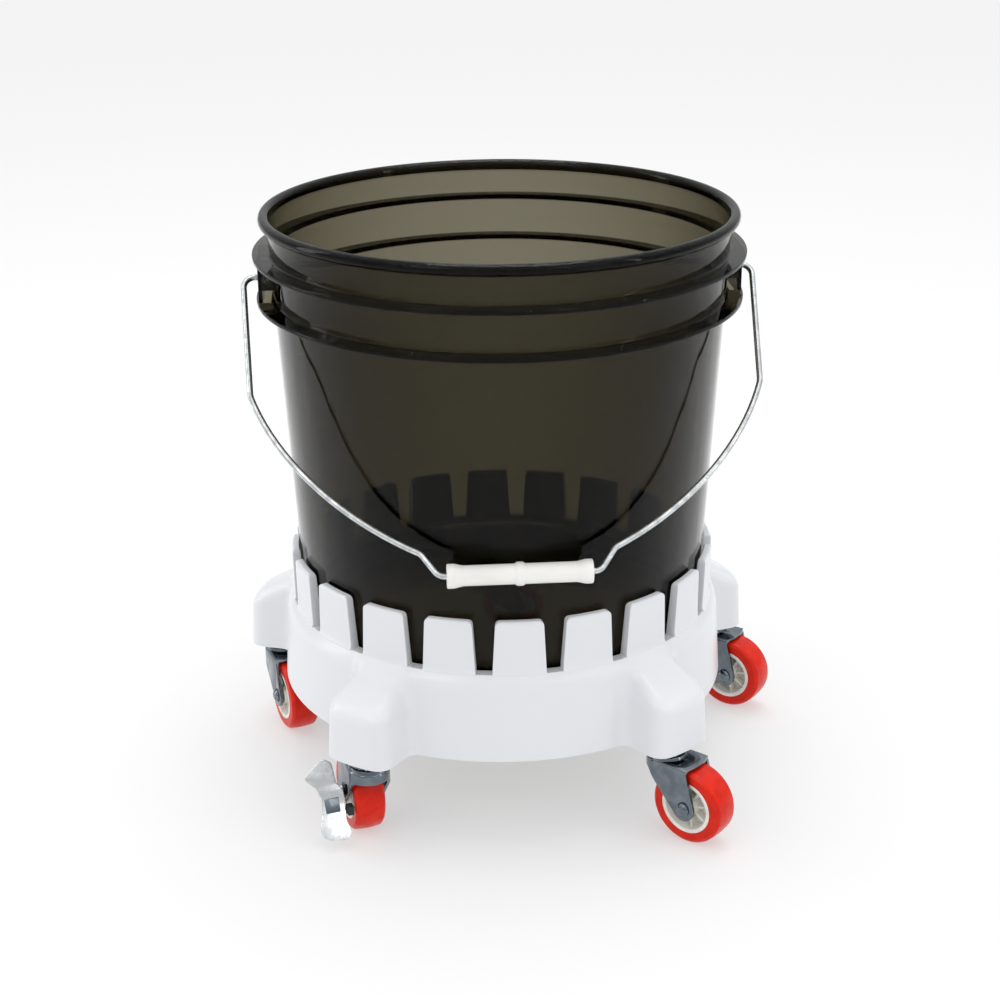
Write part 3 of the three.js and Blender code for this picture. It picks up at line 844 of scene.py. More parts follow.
@dataclass
class Bucket:
    """The tapered shell with its rolled rim, two flanges and an ear box at each side.

    All sizes are in millimetres. Drops are measured down from the rim's top.
    """

    finishes: Finishes
    height: float = 273.0
    foot_radius: float = 131.2
    taper: float = 0.0539
    wall: float = 2.2
    floor_rise: float = 8.0
    floor_thickness: float = 2.5
    foot_ring: float = 5.0
    floor_fillet: float = 8.0
    bead_radius: float = 3.6
    flange_drops: tuple[float, float] = (55.5, 27.3)
    flange_thickness: float = 2.5
    flange_reach: float = 10.8
    flange_edge: float = 0.6
    bead_steps: int = 20
    ear_half_width: float = 20.0
    ear_plate: float = 2.4
    ear_side: float = 2.2
    ear_inset: float = 2.2
    pivot_hole: float = 2.4
    sides: int = 240

    def __post_init__(self) -> None:
        """Take the heights from the frame."""
        self.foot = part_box("bucket_shell")[0].z / MM
        self.rim = self.foot + self.height
        self.flanges = [self.rim - drop for drop in self.flange_drops]
        self.pivot = joint("bail_swing")["pos_m"][2] / MM

    def radius_at(self, height: float) -> float:
        """The outside radius of the wall at a height."""
        return self.foot_radius + self.taper * (height - self.foot)

    def flange_corners(self, bottom: float) -> list[tuple[float, float, float]]:
        """One flange's corners on the way up the outside, with fillets at its root."""
        top = bottom + self.flange_thickness
        edge = self.radius_at(bottom) + self.flange_reach
        return [
            (self.radius_at(bottom), bottom, 1.0),
            (edge, bottom, self.flange_edge),
            (edge, top, self.flange_edge),
            (self.radius_at(top), top, 1.2),
        ]

    def outline(self) -> list[Point]:
        """The shell's section, from the floor's underside round to its inner face."""
        under = self.foot + self.floor_rise
        floor = under + self.floor_thickness
        ring_inner = self.foot_radius - self.foot_ring
        bead_height = self.rim - self.bead_radius
        bead_centre = self.radius_at(bead_height) - self.wall + self.bead_radius
        outside = [
            (0, under, 0),
            (ring_inner - 2, under, 1.5),
            (ring_inner, self.foot, 0.8),
            (self.foot_radius, self.foot, 1.2),
            *self.flange_corners(self.flanges[0]),
            *self.flange_corners(self.flanges[1]),
            (self.radius_at(bead_height - 5), bead_height - 5, 0),
        ]
        inside = [
            (self.radius_at(floor) - self.wall, floor, self.floor_fillet),
            (0, floor, 0),
        ]
        top_inner = (self.radius_at(bead_height) - self.wall, bead_height, 0)
        return [
            *rounded_outline(outside, 4, closed=False),
            *arc(bead_centre, bead_height, self.bead_radius, -110, 180, self.bead_steps),
            *rounded_outline([top_inner, *inside], 8, closed=False)[1:],
        ]

    def ear_face(self) -> float:
        """How far out an ear's outer face stands."""
        return self.radius_at(self.flanges[0]) + self.flange_reach - self.ear_inset

    def ear(self) -> list[bpy.types.Mesh]:
        """The three walls of one ear box, on +X."""
        low = self.flanges[0] + self.flange_thickness / 2
        high = self.flanges[1] + self.flange_thickness / 2
        face = self.ear_face()
        root = self.radius_at(low) - self.wall / 2
        half = self.ear_half_width
        return [
            box_mesh((face - self.ear_plate, -half, low), (face, half, high)),
            box_mesh((root, -half, low), (face - 1, self.ear_side - half, high)),
            box_mesh((root, half - self.ear_side, low), (face - 1, half, high)),
        ]

    def ear_cuts(self) -> list[bpy.types.Mesh]:
        """The bail's hole in one ear, and the lower flange inside the box."""
        face, drill = self.ear_face(), self.pivot_hole
        hole = turned(
            [(0, face - 6), (drill, face - 6), (drill, face + 4), (0, face + 4)], 32, Axis.ALONG_X
        )
        hole.transform(Matrix.Translation((0, 0, self.pivot * MM)))
        half = self.ear_half_width - self.ear_side
        low = self.flanges[0]
        window = box_mesh(
            (self.radius_at(low) + 1.2, -half, low - 2),
            (face - self.ear_plate, half, low + self.flange_thickness + 2),
        )
        return [hole, window]

    def build(self) -> bpy.types.Mesh:
        """Turn the shell, join the ears to it, and cut their openings."""
        shell = turned(self.outline(), self.sides)
        half_turn = Matrix.Rotation(math.pi, 4, "Z")
        ears = self.ear() + [moved(wall, half_turn) for wall in self.ear()]
        cuts = self.ear_cuts() + [moved(tool, half_turn) for tool in self.ear_cuts()]
        whole = cut_with(shell, ears, Cut.ADD)
        return cut_with(whole, cuts, Cut.TAKE)

    def dress(self) -> None:
        """Place the shell."""
        Piece(
            name="smoke_bucket",
            mesh=self.build(),
            finish=self.finishes.smoke,
            body="bucket",
            slot="smoke_plastic",
            stands_for=("bucket_shell",),
        ).place()


# ---------------------------------------------------------------- bail and grip


@dataclass
class Bail:
    """The bent wire that swings in the ears, with its sleeve."""

    finishes: Finishes
    growers: Growers
    wire_radius: float = 1.9
    ear_face: float = 151.53
    ear_plate: float = 2.4
    leg_outset: float = 10.1
    leg_foot: float = 157.78
    shoulder_drop: float = 83.0
    crank_half: float = 58.0
    crank_rise: float = 14.6
    tight_bend: float = 7.0
    shoulder_bend: float = 14.0
    bow_steps: int = 20
    head_radius: float = 3.4
    head_length: float = 1.4
    head_gap: float = 0.3
    grip_half: float = 43.5
    grip_radius: float = 6.2
    grip_end_radius: float = 7.4
    grip_bead_radius: float = 7.2
    grip_bore: float = 2.3
    sides: int = 20

    def __post_init__(self) -> None:
        """Take the pivot, the grip's middle and the way the bail hangs from the frame."""
        self.pivot = Vector(joint("bail_swing")["pos_m"]) / MM
        self.grip_middle = Vector(joint("grip_turn")["pos_m"]) / MM
        self.drop = (self.grip_middle - self.pivot).length
        self.down = (self.grip_middle - self.pivot).normalized()

    def place_of(self, across: float, drop: float) -> Vector:
        """A point of the bail in metres, from its offset along X and its drop."""
        return (self.pivot + self.down * drop + Vector((across, 0, 0))) * MM

    def half_path(self) -> list[Vector]:
        """The wire's centreline on +X, from the ear to the middle of the grip."""
        crank = self.drop - self.crank_rise
        inner = self.ear_face - self.ear_plate - self.head_length - 1.6
        legs = rounded_outline(
            [
                (inner, 0, 0),
                (self.ear_face + self.leg_outset, 0, self.tight_bend),
                (self.leg_foot, self.shoulder_drop, self.shoulder_bend),
                *self.bow(crank),
                (self.crank_half, crank, self.tight_bend),
                (self.grip_half + 4.5, self.drop, self.tight_bend),
                (0, self.drop, 0),
            ],
            6,
            closed=False,
        )
        return [self.place_of(across, drop) for across, drop in legs]

    def bow(self, crank: float) -> list[tuple[float, float, float]]:
        """The long bow between the straight leg and the crank."""
        corners = [
            np.array((self.leg_foot, self.shoulder_drop)),
            np.array((self.leg_foot - 14, self.shoulder_drop + 42)),
            np.array((self.crank_half + 48, crank - 24)),
            np.array((self.crank_half, crank)),
        ]
        spots = []
        for t in np.linspace(0, 1, self.bow_steps)[1:-1]:
            shares = ((1 - t) ** 3, 3 * t * (1 - t) ** 2, 3 * t * t * (1 - t), t**3)
            x, y = sum(share * corner for share, corner in zip(shares, corners))
            spots.append((float(x), float(y), 0))
        return spots

    def build_wire(self) -> bpy.types.Mesh:
        """Sweep the wire and add its upset ends."""
        half = self.half_path()
        mirrored = [Vector((-spot.x, spot.y, spot.z)) for spot in reversed(half[:-1])]
        wire = self.growers.along([*half, *mirrored], self.wire_radius, self.sides)
        inner = self.ear_face - self.ear_plate - self.head_gap - self.head_length
        outline = rounded_outline(
            [
                (0, inner, 0),
                (self.head_radius, inner, 0.5),
                (self.head_radius, inner + self.head_length, 0.3),
                (0, inner + self.head_length, 0),
            ],
            3,
            closed=False,
        )
        heads = []
        for side in (1, -1):
            head = turned([(r, side * x) for r, x in outline], 32, Axis.ALONG_X)
            heads.append(moved(head, Matrix.Translation(self.pivot * MM)))
        return merged([wire, *heads], "bail")

    def build_grip(self) -> bpy.types.Mesh:
        """Turn the sleeve with its flared ends and the bead at mid-length."""
        end, flare, bead = self.grip_half, self.grip_end_radius, self.grip_bead_radius
        side = [
            (self.grip_bore, -end, 0.3),
            (flare, -end, 0.9),
            (flare, 4.5 - end, 2.0),
            (self.grip_radius, 9.5 - end, 4.0),
            (self.grip_radius, -3.2, 0.5),
            (bead, -1.7, 0.9),
        ]
        outline = side + [(r, -along, round_) for r, along, round_ in reversed(side)]
        grip = turned(rounded_outline(outline, 5), 64, Axis.ALONG_X)
        return moved(grip, Matrix.Translation(self.grip_middle * MM))

    def dress(self) -> None:
        """Place the wire and the sleeve."""
        Piece(
            name="bail_of_bent_wire",
            mesh=self.build_wire(),
            finish=self.finishes.wire,
            body="bail",
            slot="steel_wire",
            stands_for=("bail_wire",),
        ).place()
        Piece(
            name="grip_sleeve",
            mesh=self.build_grip(),
            finish=self.finishes.grip,
            body="grip",
            slot="white_plastic",
            stands_for=("bail_grip",),
        ).place()


# ---------------------------------------------------------------- dolly


def blended_max(first: np.ndarray, second: np.ndarray, width: float) -> np.ndarray:
    """The larger of two fields, with the ridge between them rounded over a width."""
    overlap = np.maximum(width - np.abs(first - second), 0) / width
    return np.maximum(first, second) + overlap * overlap * width / 4


def blended_min(first: np.ndarray, second: np.ndarray, width: float) -> np.ndarray:
    """The smaller of two fields, with the valley between them filled over a width."""
    return -blended_max(-first, -second, width)


@dataclass
class Dolly:
    """The round moulding: skirt, sloping ledge, socket, five pods and twenty upstands.

    All sizes are in millimetres. The skin is found by rays from the hub, a circle inside the
    wall that is given by its radius and height.
    """

    finishes: Finishes
    growers: Growers
    pail_foot_radius: float = 131.2
    taper: float = 0.0539
    clearance: float = 0.8
    seat_rise: float = 39.9
    seat_thickness: float = 3.5
    seat_width: float = 28.0
    ledge_rise: float = 15.8
    ledge_fall: float = 5.2
    ledge_width: float = 4.9
    wall: float = 3.0
    draft: float = 0.0605
    upstands: int = 20
    upstand_rise: float = 35.0
    upstand_foot: float = 6.4
    upstand_top: float = 5.2
    slot_foot: float = 10.2
    slot_top: float = 14.2
    pod_nose: float = 17.5
    pod_half_width: float = 23.0
    pod_draft: float = 0.04
    pod_shoulder: float = 35.0
    pod_root: float = 6.5
    pod_corner: float = 10.5
    pod_roof_edge: float = 6.0
    ledge_edge: float = 3.0
    boss_radius: float = 11.0
    boss_bore: float = 4.25
    boss_rise: float = 10.0
    rib_half: float = 1.2
    hub: tuple[float, float] = (120.0, 80.0)
    longest_ray: float = 110.0
    halvings: int = 36
    row_count: int = 66
    column_pitch: float = 2.0

    def __post_init__(self) -> None:
        """Take the heights and the pods' places from the frame."""
        low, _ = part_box("dolly_ring")
        self.bottom = low.z / MM
        self.seat = self.bottom + self.seat_rise
        self.ledge = self.seat + self.ledge_rise
        self.skirt_top = self.ledge - self.ledge_fall
        self.foot_radius = self.socket_at(self.ledge) + self.upstand_foot
        self.skirt_top_radius = self.foot_radius + self.ledge_width
        self.pods = [swivel_place(name) / MM for name in CASTER_NAMES]
        self.reach = self.pods[0].xy.length + self.pod_nose

    def socket_at(self, height: float) -> float:
        """The socket's radius at a height."""
        return self.pail_foot_radius + self.taper * (height - self.seat - 0.3) + self.clearance

    def depth(self, x: np.ndarray, y: np.ndarray, z: np.ndarray) -> np.ndarray:
        """How far points lie outside the skirt, ledge and pods, in millimetres.

        Args:
            x: Coordinates along X.
            y: Coordinates along Y.
            z: Heights.

        Returns:
            About the distance to the moulding's outer skin, less than zero inside it.
        """
        radius = np.hypot(x, y)
        skirt = radius - self.skirt_top_radius + self.draft * (z - self.skirt_top)
        rise, run = self.ledge_fall, self.ledge_width
        slope = math.hypot(rise, run)
        ledge = (
            (z - self.skirt_top) * run + (radius - self.skirt_top_radius) * rise
        ) / slope
        whole = blended_max(skirt, ledge, self.ledge_edge)
        for pod in self.pods:
            away = pod.xy.normalized()
            along = x * away.x + y * away.y
            across = np.abs(-x * away.y + y * away.x)
            whole = blended_min(whole, self.pod_depth(along, across, z), self.pod_root)
        return whole

    def pod_depth(self, along: np.ndarray, across: np.ndarray, z: np.ndarray) -> np.ndarray:
        """The same for one pod, in its own axes."""
        height = z - self.bottom
        nose_reach = self.reach - self.pod_draft * height
        nose = along + across * across / 260 - nose_reach
        above = np.maximum(height - self.pod_shoulder + 2, 0)
        side = across - self.pod_half_width + self.pod_draft * height + 0.22 * above
        plan = blended_max(nose, side, self.pod_corner)
        plan = np.maximum(plan, 60.0 - along)
        fall = self.skirt_top - self.bottom - self.pod_shoulder
        run = self.reach - self.pod_draft * self.pod_shoulder - self.skirt_top_radius
        slope = math.hypot(fall, run)
        past = along - self.skirt_top_radius
        roof = ((z - self.skirt_top) * run + past * fall) / slope + across * across / 400
        return blended_max(plan, roof, self.pod_roof_edge)

    def skin(self, angles: np.ndarray, depth: float, rows: int) -> np.ndarray:
        """Rows of points on the skin, or at a depth under it.

        Args:
            angles: The meridian planes, in radians from +X.
            depth: How far under the outer skin.
            rows: Points from the bottom edge up to the ledge.

        Returns:
            An array of rows, planes and coordinates.
        """
        hub_radius, hub_height = self.hub
        edge = self.march(angles, np.full(len(angles), hub_radius), self.bottom, 0.0, depth)
        start = np.arctan2(self.bottom - hub_height, edge - hub_radius)
        inner = self.foot_radius - depth * 0.6
        end = math.atan2(self.ledge - 0.6 - depth - hub_height, inner - hub_radius)
        skin = np.empty((rows, len(angles), 3))
        for row in range(rows):
            tilt = start + (end - start) * row / (rows - 1)
            reach = self.march(angles, np.full(len(angles), hub_radius), hub_height, tilt, depth)
            travel = (reach - hub_radius) / np.cos(tilt)
            skin[row, :, 0] = reach * np.cos(angles)
            skin[row, :, 1] = reach * np.sin(angles)
            skin[row, :, 2] = hub_height + travel * np.sin(tilt)
        skin[0, :, 2] = self.bottom
        return skin

    def march(
        self,
        angles: np.ndarray,
        start: np.ndarray,
        height: float,
        tilt: Union[float, np.ndarray],
        depth: float,
    ) -> np.ndarray:
        """Find where rays from inside the wall meet the skin, by halving.

        Args:
            angles: The meridian planes, in radians from +X.
            start: The radius that each ray starts from.
            height: The height that the rays start from.
            tilt: The rays' slope, in radians up from level.
            depth: How far under the outer skin they stop.

        Returns:
            The radius at which each ray stops.
        """
        low, high = np.zeros(len(angles)), np.full(len(angles), self.longest_ray)
        for _ in range(self.halvings):
            middle = (low + high) / 2
            radius = start + middle * np.cos(tilt)
            z = height + middle * np.sin(tilt)
            inside = self.depth(radius * np.cos(angles), radius * np.sin(angles), z) < -depth
            low, high = np.where(inside, middle, low), np.where(inside, high, middle)
        return start + low * np.cos(tilt)

    def planes(self) -> np.ndarray:
        """Meridian angles that are evenly spaced along the moulding's outline."""
        fine = np.linspace(0, 2 * math.pi, 14401)
        reach = self.march(fine, np.full(len(fine), self.hub[0]), 82.0, 0.0, 0.0)
        x, y = reach * np.cos(fine), reach * np.sin(fine)
        length = np.concatenate([[0], np.cumsum(np.hypot(np.diff(x), np.diff(y)))])
        count = int(length[-1] / self.column_pitch)
        return np.interp(np.arange(count) * length[-1] / count, length, fine)

    def core_outline(self) -> list[Point]:
        """The turned part of the section: from the ledge over the socket to under the ledge."""
        top, seat, lower = self.ledge, self.seat, self.seat - self.seat_thickness
        outer = self.socket_at(seat) + self.wall
        corners = [
            (self.foot_radius, top - 0.3, 0),
            (self.socket_at(top), top, 0.7),
            (self.socket_at(seat), seat, 1.0),
            (self.socket_at(seat) - self.seat_width, seat, 0.8),
            (self.socket_at(seat) - self.seat_width, lower, 0.8),
            (outer, lower, 0.6),
            (outer, self.skirt_top - self.wall - 1.2, 0),
        ]
        return rounded_outline(corners, 3, closed=False)

    def build_ring(self) -> bpy.types.Mesh:
        """Join the outer skin, the socket and the inner skin into one closed shell."""
        angles = self.planes()
        outer = self.skin(angles, 0.0, self.row_count)
        # The inner skin runs down from just under the ledge, where the core takes over.
        inner = self.skin(angles, self.wall, self.row_count // 2)[::-1][4:]
        core = np.array(
            [
                [(r * math.cos(a), r * math.sin(a), z) for a in angles]
                for r, z in self.core_outline()
            ]
        )
        rows = np.concatenate([outer, core, inner])
        faces = grid_faces(len(rows), len(angles), True)
        return mesh_of("dolly_ring_skin", rows.reshape(-1, 3), faces)

    def upstand(self) -> bpy.types.Mesh:
        """One upstand, bent round the socket, at +X."""
        pitch = 2 * math.pi * self.foot_radius / self.upstands
        foot = (pitch - self.slot_foot) / 2
        top = (pitch - self.slot_top) / 2
        rise = self.upstand_rise
        sink = 2.5
        outline = [
            (-foot - 0.15, -sink, 0),
            (foot + 0.15, -sink, 0),
            (foot, 0, 0),
            (top, rise, 3.2),
            (-top, rise, 3.2),
            (-foot, 0, 0),
        ]
        block = side_prism(rounded_outline(outline, 5), 0, 1, "upstand")
        block = bevelled_slab(block, 12)
        bend = bmesh.new()
        bend.from_mesh(block)
        for spot in bend.verts:
            across, out, height = spot.co.x / MM, spot.co.y, spot.co.z / MM
            self.bend_point(spot, across, out / MM, height)
        bend.to_mesh(block)
        bend.free()
        return block

    def bend_point(
        self, spot: bmesh.types.BMVert, across: float, out: float, height: float
    ) -> None:
        """Move a point of the flat slab to its place on the ledge.

        Args:
            spot: The slab's point, which is moved.
            across: Its offset round the ledge, in millimetres.
            out: Its share of the slab's thickness, from the inner face.
            height: Its height over the ledge, in millimetres.
        """
        level = self.ledge + height
        inner = self.socket_at(level)
        share = min(max(height / self.upstand_rise, 0), 1)
        thick = self.upstand_foot + (self.upstand_top - self.upstand_foot) * share
        flare = 1.0 * math.exp(-max(height, 0) / 1.1)
        top_round = max(height - self.upstand_rise + 2.6, 0) / 2.6
        round_in = 2.1 * (1 - math.sqrt(max(1 - top_round * top_round, 0)))
        radius = inner + 0.35 * round_in + (thick + flare - 1.35 * round_in) * out
        angle = across / self.foot_radius
        spot.co = Vector((radius * math.cos(angle), radius * math.sin(angle), level)) * MM

    def rib(self) -> bpy.types.Mesh:
        """One radial rib under the ledge, at +X."""
        inner = self.socket_at(self.seat) + self.wall / 2
        outer = self.skirt_top_radius - self.wall / 2
        low, high = self.bottom + 16, self.skirt_top - self.wall / 2
        half = self.rib_half
        return bevelled(box_mesh((inner, -half, low), (outer, half, high)), 0.3, 2)

    def boss(self, pod: Vector) -> bpy.types.Mesh:
        """The boss that a caster's stem goes through, with its ribs to the pod's walls."""
        top = self.bottom + self.boss_rise
        ring = turned(
            rounded_outline(
                [
                    (self.boss_bore, self.bottom, 0.4),
                    (self.boss_radius, self.bottom, 0.4),
                    (self.boss_radius, top, 0.8),
                    (self.boss_bore, top, 0.4),
                ],
                3,
            ),
            48,
        )
        reach = self.pod_nose - self.wall / 2 - 0.5
        side = self.pod_half_width - self.wall / 2 - 0.6
        half = self.wall / 2
        plans = [
            (8, -half, reach, half),
            (-14, -half, -8, half),
            (-half, 8, half, side),
            (-half, -side, half, -8),
        ]
        low, high = self.bottom + 0.1, top - 0.1
        ribs = [box_mesh((x0, y0, low), (x1, y1, high)) for x0, y0, x1, y1 in plans]
        whole = merged([ring, *ribs], "boss")
        turn = math.atan2(pod.y, pod.x)
        place = Matrix.Translation((pod.x * MM, pod.y * MM, 0)) @ Matrix.Rotation(turn, 4, "Z")
        return moved(whole, place)

    def build(self) -> bpy.types.Mesh:
        """The whole moulding."""
        first = math.degrees(math.atan2(self.pods[2].y, self.pods[2].x))
        uprights = self.growers.round_the_axis(self.upstand(), self.upstands, first)
        between = first + 180 / self.upstands
        ribs = self.growers.round_the_axis(self.rib(), self.upstands, between)
        bosses = [self.boss(pod) for pod in self.pods]
        return merged([self.build_ring(), uprights, ribs, *bosses], "dolly")

    def dress(self) -> None:
        """Place the moulding."""
        Piece(
            name="white_dolly",
            mesh=self.build(),
            finish=self.finishes.white,
            body="dolly",
            slot="white_plastic",
            stands_for=("dolly_ring",),
            smooth_below=44,
        ).place()


def bevelled_slab(block: bpy.types.Mesh, cuts: int) -> bpy.types.Mesh:
    """Slice a slab across its width and height, so that it can be bent and rounded.

    Args:
        block: A slab drawn in X and Z, one millimetre thick, which is changed.
        cuts: Slices along X.

    Returns:
        The same mesh.
    """
    shape = bmesh.new()
    shape.from_mesh(block)
    spots = np.array([tuple(spot.co) for spot in shape.verts])
    low, high = spots.min(axis=0), spots.max(axis=0)
    below_top = (0.15, 0.5, 1.0, 1.7, 2.6, 12, 24)
    above_foot = (0.0, 0.5, 1.1, 2.0, 3.5)
    levels = [high[2] - step * MM for step in below_top]
    levels += [step * MM for step in above_foot]
    planes = [((x, 0, 0), (1, 0, 0)) for x in np.linspace(low[0], high[0], cuts + 2)[1:-1]]
    planes += [((0, 0, z), (0, 0, 1)) for z in levels]
    planes.append(((0, (low[1] + high[1]) / 2, 0), (0, 1, 0)))
    for spot, normal in planes:
        sliced(shape, spot, normal)
    rim = [
        edge
        for edge in shape.edges
        if len(edge.link_faces) == 2 and edge.calc_face_angle(0) > math.radians(60)
    ]
    clear_of_foot = 0.5 * MM
    rim = [edge for edge in rim if all(spot.co.z > clear_of_foot for spot in edge.verts)]
    bmesh.ops.bevel(
        shape, geom=rim, offset=0.16 * MM, segments=3, profile=0.5, affect="EDGES"
    )
    shape.to_mesh(block)
    shape.free()
    return block


# ---------------------------------------------------------------- casters

CASTER_NAMES = ("front_right", "side_right", "back", "side_left", "front_left")


def joint(name: str) -> dict:
    """The frame's joint of that name."""
    return next(row for row in frame["joints"] if row["name"] == name)


def swivel_place(name: str) -> Vector:
    """The foot of a caster's swivel axis, in metres."""
    return Vector(joint(f"{name}_turn")["pos_m"])


@dataclass
class CasterSizes:
    """What all five casters share, in millimetres from the floor below the swivel axis."""

    trail: float = 21.0
    wheel_radius: float = 25.0
    wheel_width: float = 19.6
    tread_depth: float = 7.6
    tread_crown: float = 0.5
    tread_flat: float = 0.72
    hub_rim: float = 2.6
    hub_web: float = 2.4
    hub_boss: float = 6.4
    hub_bore: float = 4.5
    spokes: int = 8
    plate: float = 2.0
    leg_outside: float = 13.2
    crown_top: float = 53.1
    crown_front: float = 13.0
    crown_back: float = 22.0
    rear_lip: float = 3.3
    stem_bore: float = 4.25
    axle_bore: float = 3.25
    axle_boss: float = 7.8
    axle_radius: float = 3.0
    axle_head: float = 4.6
    axle_head_rise: float = 2.4
    ball_radius: float = 1.6
    race_radius: float = 9.3
    balls: int = 14
    cup_radius: float = 14.6
    cup_low: float = 57.1
    cup_high: float = 60.8


@dataclass
class Caster:
    """One swivel caster: fork, race, axle, hub and tread."""

    name: str
    finishes: Finishes
    growers: Growers
    sizes: CasterSizes
    braked: bool = False

    def __post_init__(self) -> None:
        """Take the swivel axis and the trailing direction from the frame."""
        foot = swivel_place(self.name)
        axle = Vector(joint(f"{self.name}_roll")["pos_m"])
        trail = (axle - foot).xy
        turn = math.atan2(trail.y, trail.x)
        self.place = Matrix.Translation((foot.x, foot.y, 0)) @ Matrix.Rotation(turn, 4, "Z")
        sizes = self.sizes
        to_axle = Matrix.Translation((sizes.trail * MM, 0, sizes.wheel_radius * MM))
        self.axle_place = self.place @ to_axle @ Matrix.Rotation(math.pi / 2, 4, "X")

    def plan(self, inset: float, back: float) -> list[Point]:
        """The fork's plan, half round in front: its outer face, or one set in from it."""
        radius = self.sizes.leg_outside - inset
        centre = self.sizes.leg_outside - self.sizes.crown_front
        front = arc(centre, 0, radius, 90, 270, 28)
        return [(back, radius), *front, (back, -radius)]

    def rear_cut(self) -> bpy.types.Mesh:
        """The tool that rounds the crown's rear edge, between the tops of the legs."""
        back, top, half = self.sizes.crown_back, self.sizes.crown_top, self.sizes.leg_outside
        bow = 30.0
        sweep = math.degrees(math.atan2(half, bow))
        edge = arc(back - bow, 0, math.hypot(bow, half), -sweep, sweep, 16)
        corners = [(back, half + 3), (back + 20, half + 3), (back + 20, -half - 3)]
        low = top - self.sizes.rear_lip
        return prism([*edge, *corners, (back, -half - 3)], low, top + 4)

    def side_view(self) -> list[Point]:
        """The fork's side view: a lip in front, and the leg down to the axle."""
        sizes = self.sizes
        top, back = sizes.crown_top, sizes.crown_back
        boss = arc(sizes.trail, sizes.wheel_radius, sizes.axle_boss, 205, 372, 18)
        under = rounded_outline(
            [(-20, top - 7.0, 0), (-6.6, top - 7.8, 4), (*boss[0], 0)], 6, closed=False
        )
        return [
            (-20, top + 5),
            *under[:-1],
            *boss,
            (back + 0.2, top - sizes.rear_lip),
            (back + 6, top - sizes.rear_lip),
            (back + 6, top + 5),
        ]

    def fork(self) -> bpy.types.Mesh:
        """Press the fork: an upside-down tray with two legs, a lip in front and holes."""
        sizes = self.sizes
        top = sizes.crown_top
        outer = prism(self.plan(0, sizes.crown_back + 10), 10, top)
        rim = (top - 0.01) * MM
        ahead = sizes.crown_back * MM

        def folded(edge: bmesh.types.BMEdge) -> bool:
            """Tell the crown's folded edges from its rear edge."""
            on_top = all(spot.co.z > rim for spot in edge.verts)
            return on_top and any(spot.co.x < ahead for spot in edge.verts)

        bevelled(outer, 2.4, 5, folded)
        inner = prism(self.plan(sizes.plate, sizes.crown_back + 18), 5, top - sizes.plate)
        roof = (top - sizes.plate - 0.01) * MM
        bevelled(inner, 1.0, 3, lambda edge: all(v.co.z > roof for v in edge.verts))
        profile = side_prism(self.side_view(), -20, 20)
        shell = cut_with(outer, [profile], Cut.KEEP)
        bore = sizes.stem_bore
        kingpin = turned([(0, 40), (bore, 40), (bore, 60), (0, 60)], 32)
        bore = sizes.axle_bore
        axle = turned([(0, -20), (bore, -20), (bore, 20), (0, 20)], 32, Axis.ALONG_Y)
        axle.transform(Matrix.Translation((sizes.trail * MM, 0, sizes.wheel_radius * MM)))
        shell = cut_with(shell, [inner, self.rear_cut(), kingpin, axle], Cut.TAKE)
        return bevelled(shell, 0.28, 2)

    def race_bowl(self) -> bpy.types.Mesh:
        """The dished seat of the balls, raised round the kingpin on the crown."""
        top = self.sizes.crown_top
        outline = rounded_outline(
            [
                (5.2, top - 0.4, 0),
                (12.9, top - 0.4, 0),
                (12.3, top + 1.9, 0.7),
                (11.1, top + 1.9, 0.5),
                (10.2, top + 0.3, 0.8),
                (5.2, top + 0.2, 0),
            ],
            4,
        )
        return turned(outline, 64)

    def cup(self) -> bpy.types.Mesh:
        """The upper race: a shallow upturned cup pressed against the pod."""
        sizes = self.sizes
        low, high, rim = sizes.cup_low, sizes.cup_high, sizes.cup_radius
        outline = rounded_outline(
            [
                (4.4, low + 0.9, 0),
                (9.2, low + 0.9, 0.8),
                (10.4, low, 0.4),
                (rim - 0.9, low, 0.7),
                (rim, high, 0.5),
                (4.4, high, 0),
            ],
            4,
        )
        return turned(outline, 64)

    def ball(self) -> bpy.types.Mesh:
        """One ball of the race, at +X."""
        shape = bmesh.new()
        bmesh.ops.create_icosphere(shape, subdivisions=2, radius=self.sizes.ball_radius * MM)
        ball = bpy.data.meshes.new("ball")
        shape.to_mesh(ball)
        shape.free()
        level = (self.sizes.crown_top + self.sizes.cup_low) / 2
        return moved(ball, Matrix.Translation((self.sizes.race_radius * MM, 0, level * MM)))

    def rivet(self) -> bpy.types.Mesh:
        """The axle, with a domed head at each free end."""
        sizes = self.sizes
        seat = sizes.leg_outside + 0.1
        dome = [
            (sizes.axle_head, seat, 0),
            (sizes.axle_head, seat + 0.6, 0.3),
            (sizes.axle_head - 0.9, seat + 1.5, 1.6),
            (2.2, seat + sizes.axle_head_rise, 2.5),
            (0, seat + sizes.axle_head_rise, 0),
        ]
        near = rounded_outline(dome, 5, closed=False)
        far_end = [(sizes.axle_radius, 20.4), (sizes.axle_radius - 0.5, 21.0), (0, 21.0)]
        far = far_end if self.braked else [(sizes.axle_radius, seat), *near]
        return turned([*[(r, -z) for r, z in far][::-1], (sizes.axle_radius, seat), *near], 40)

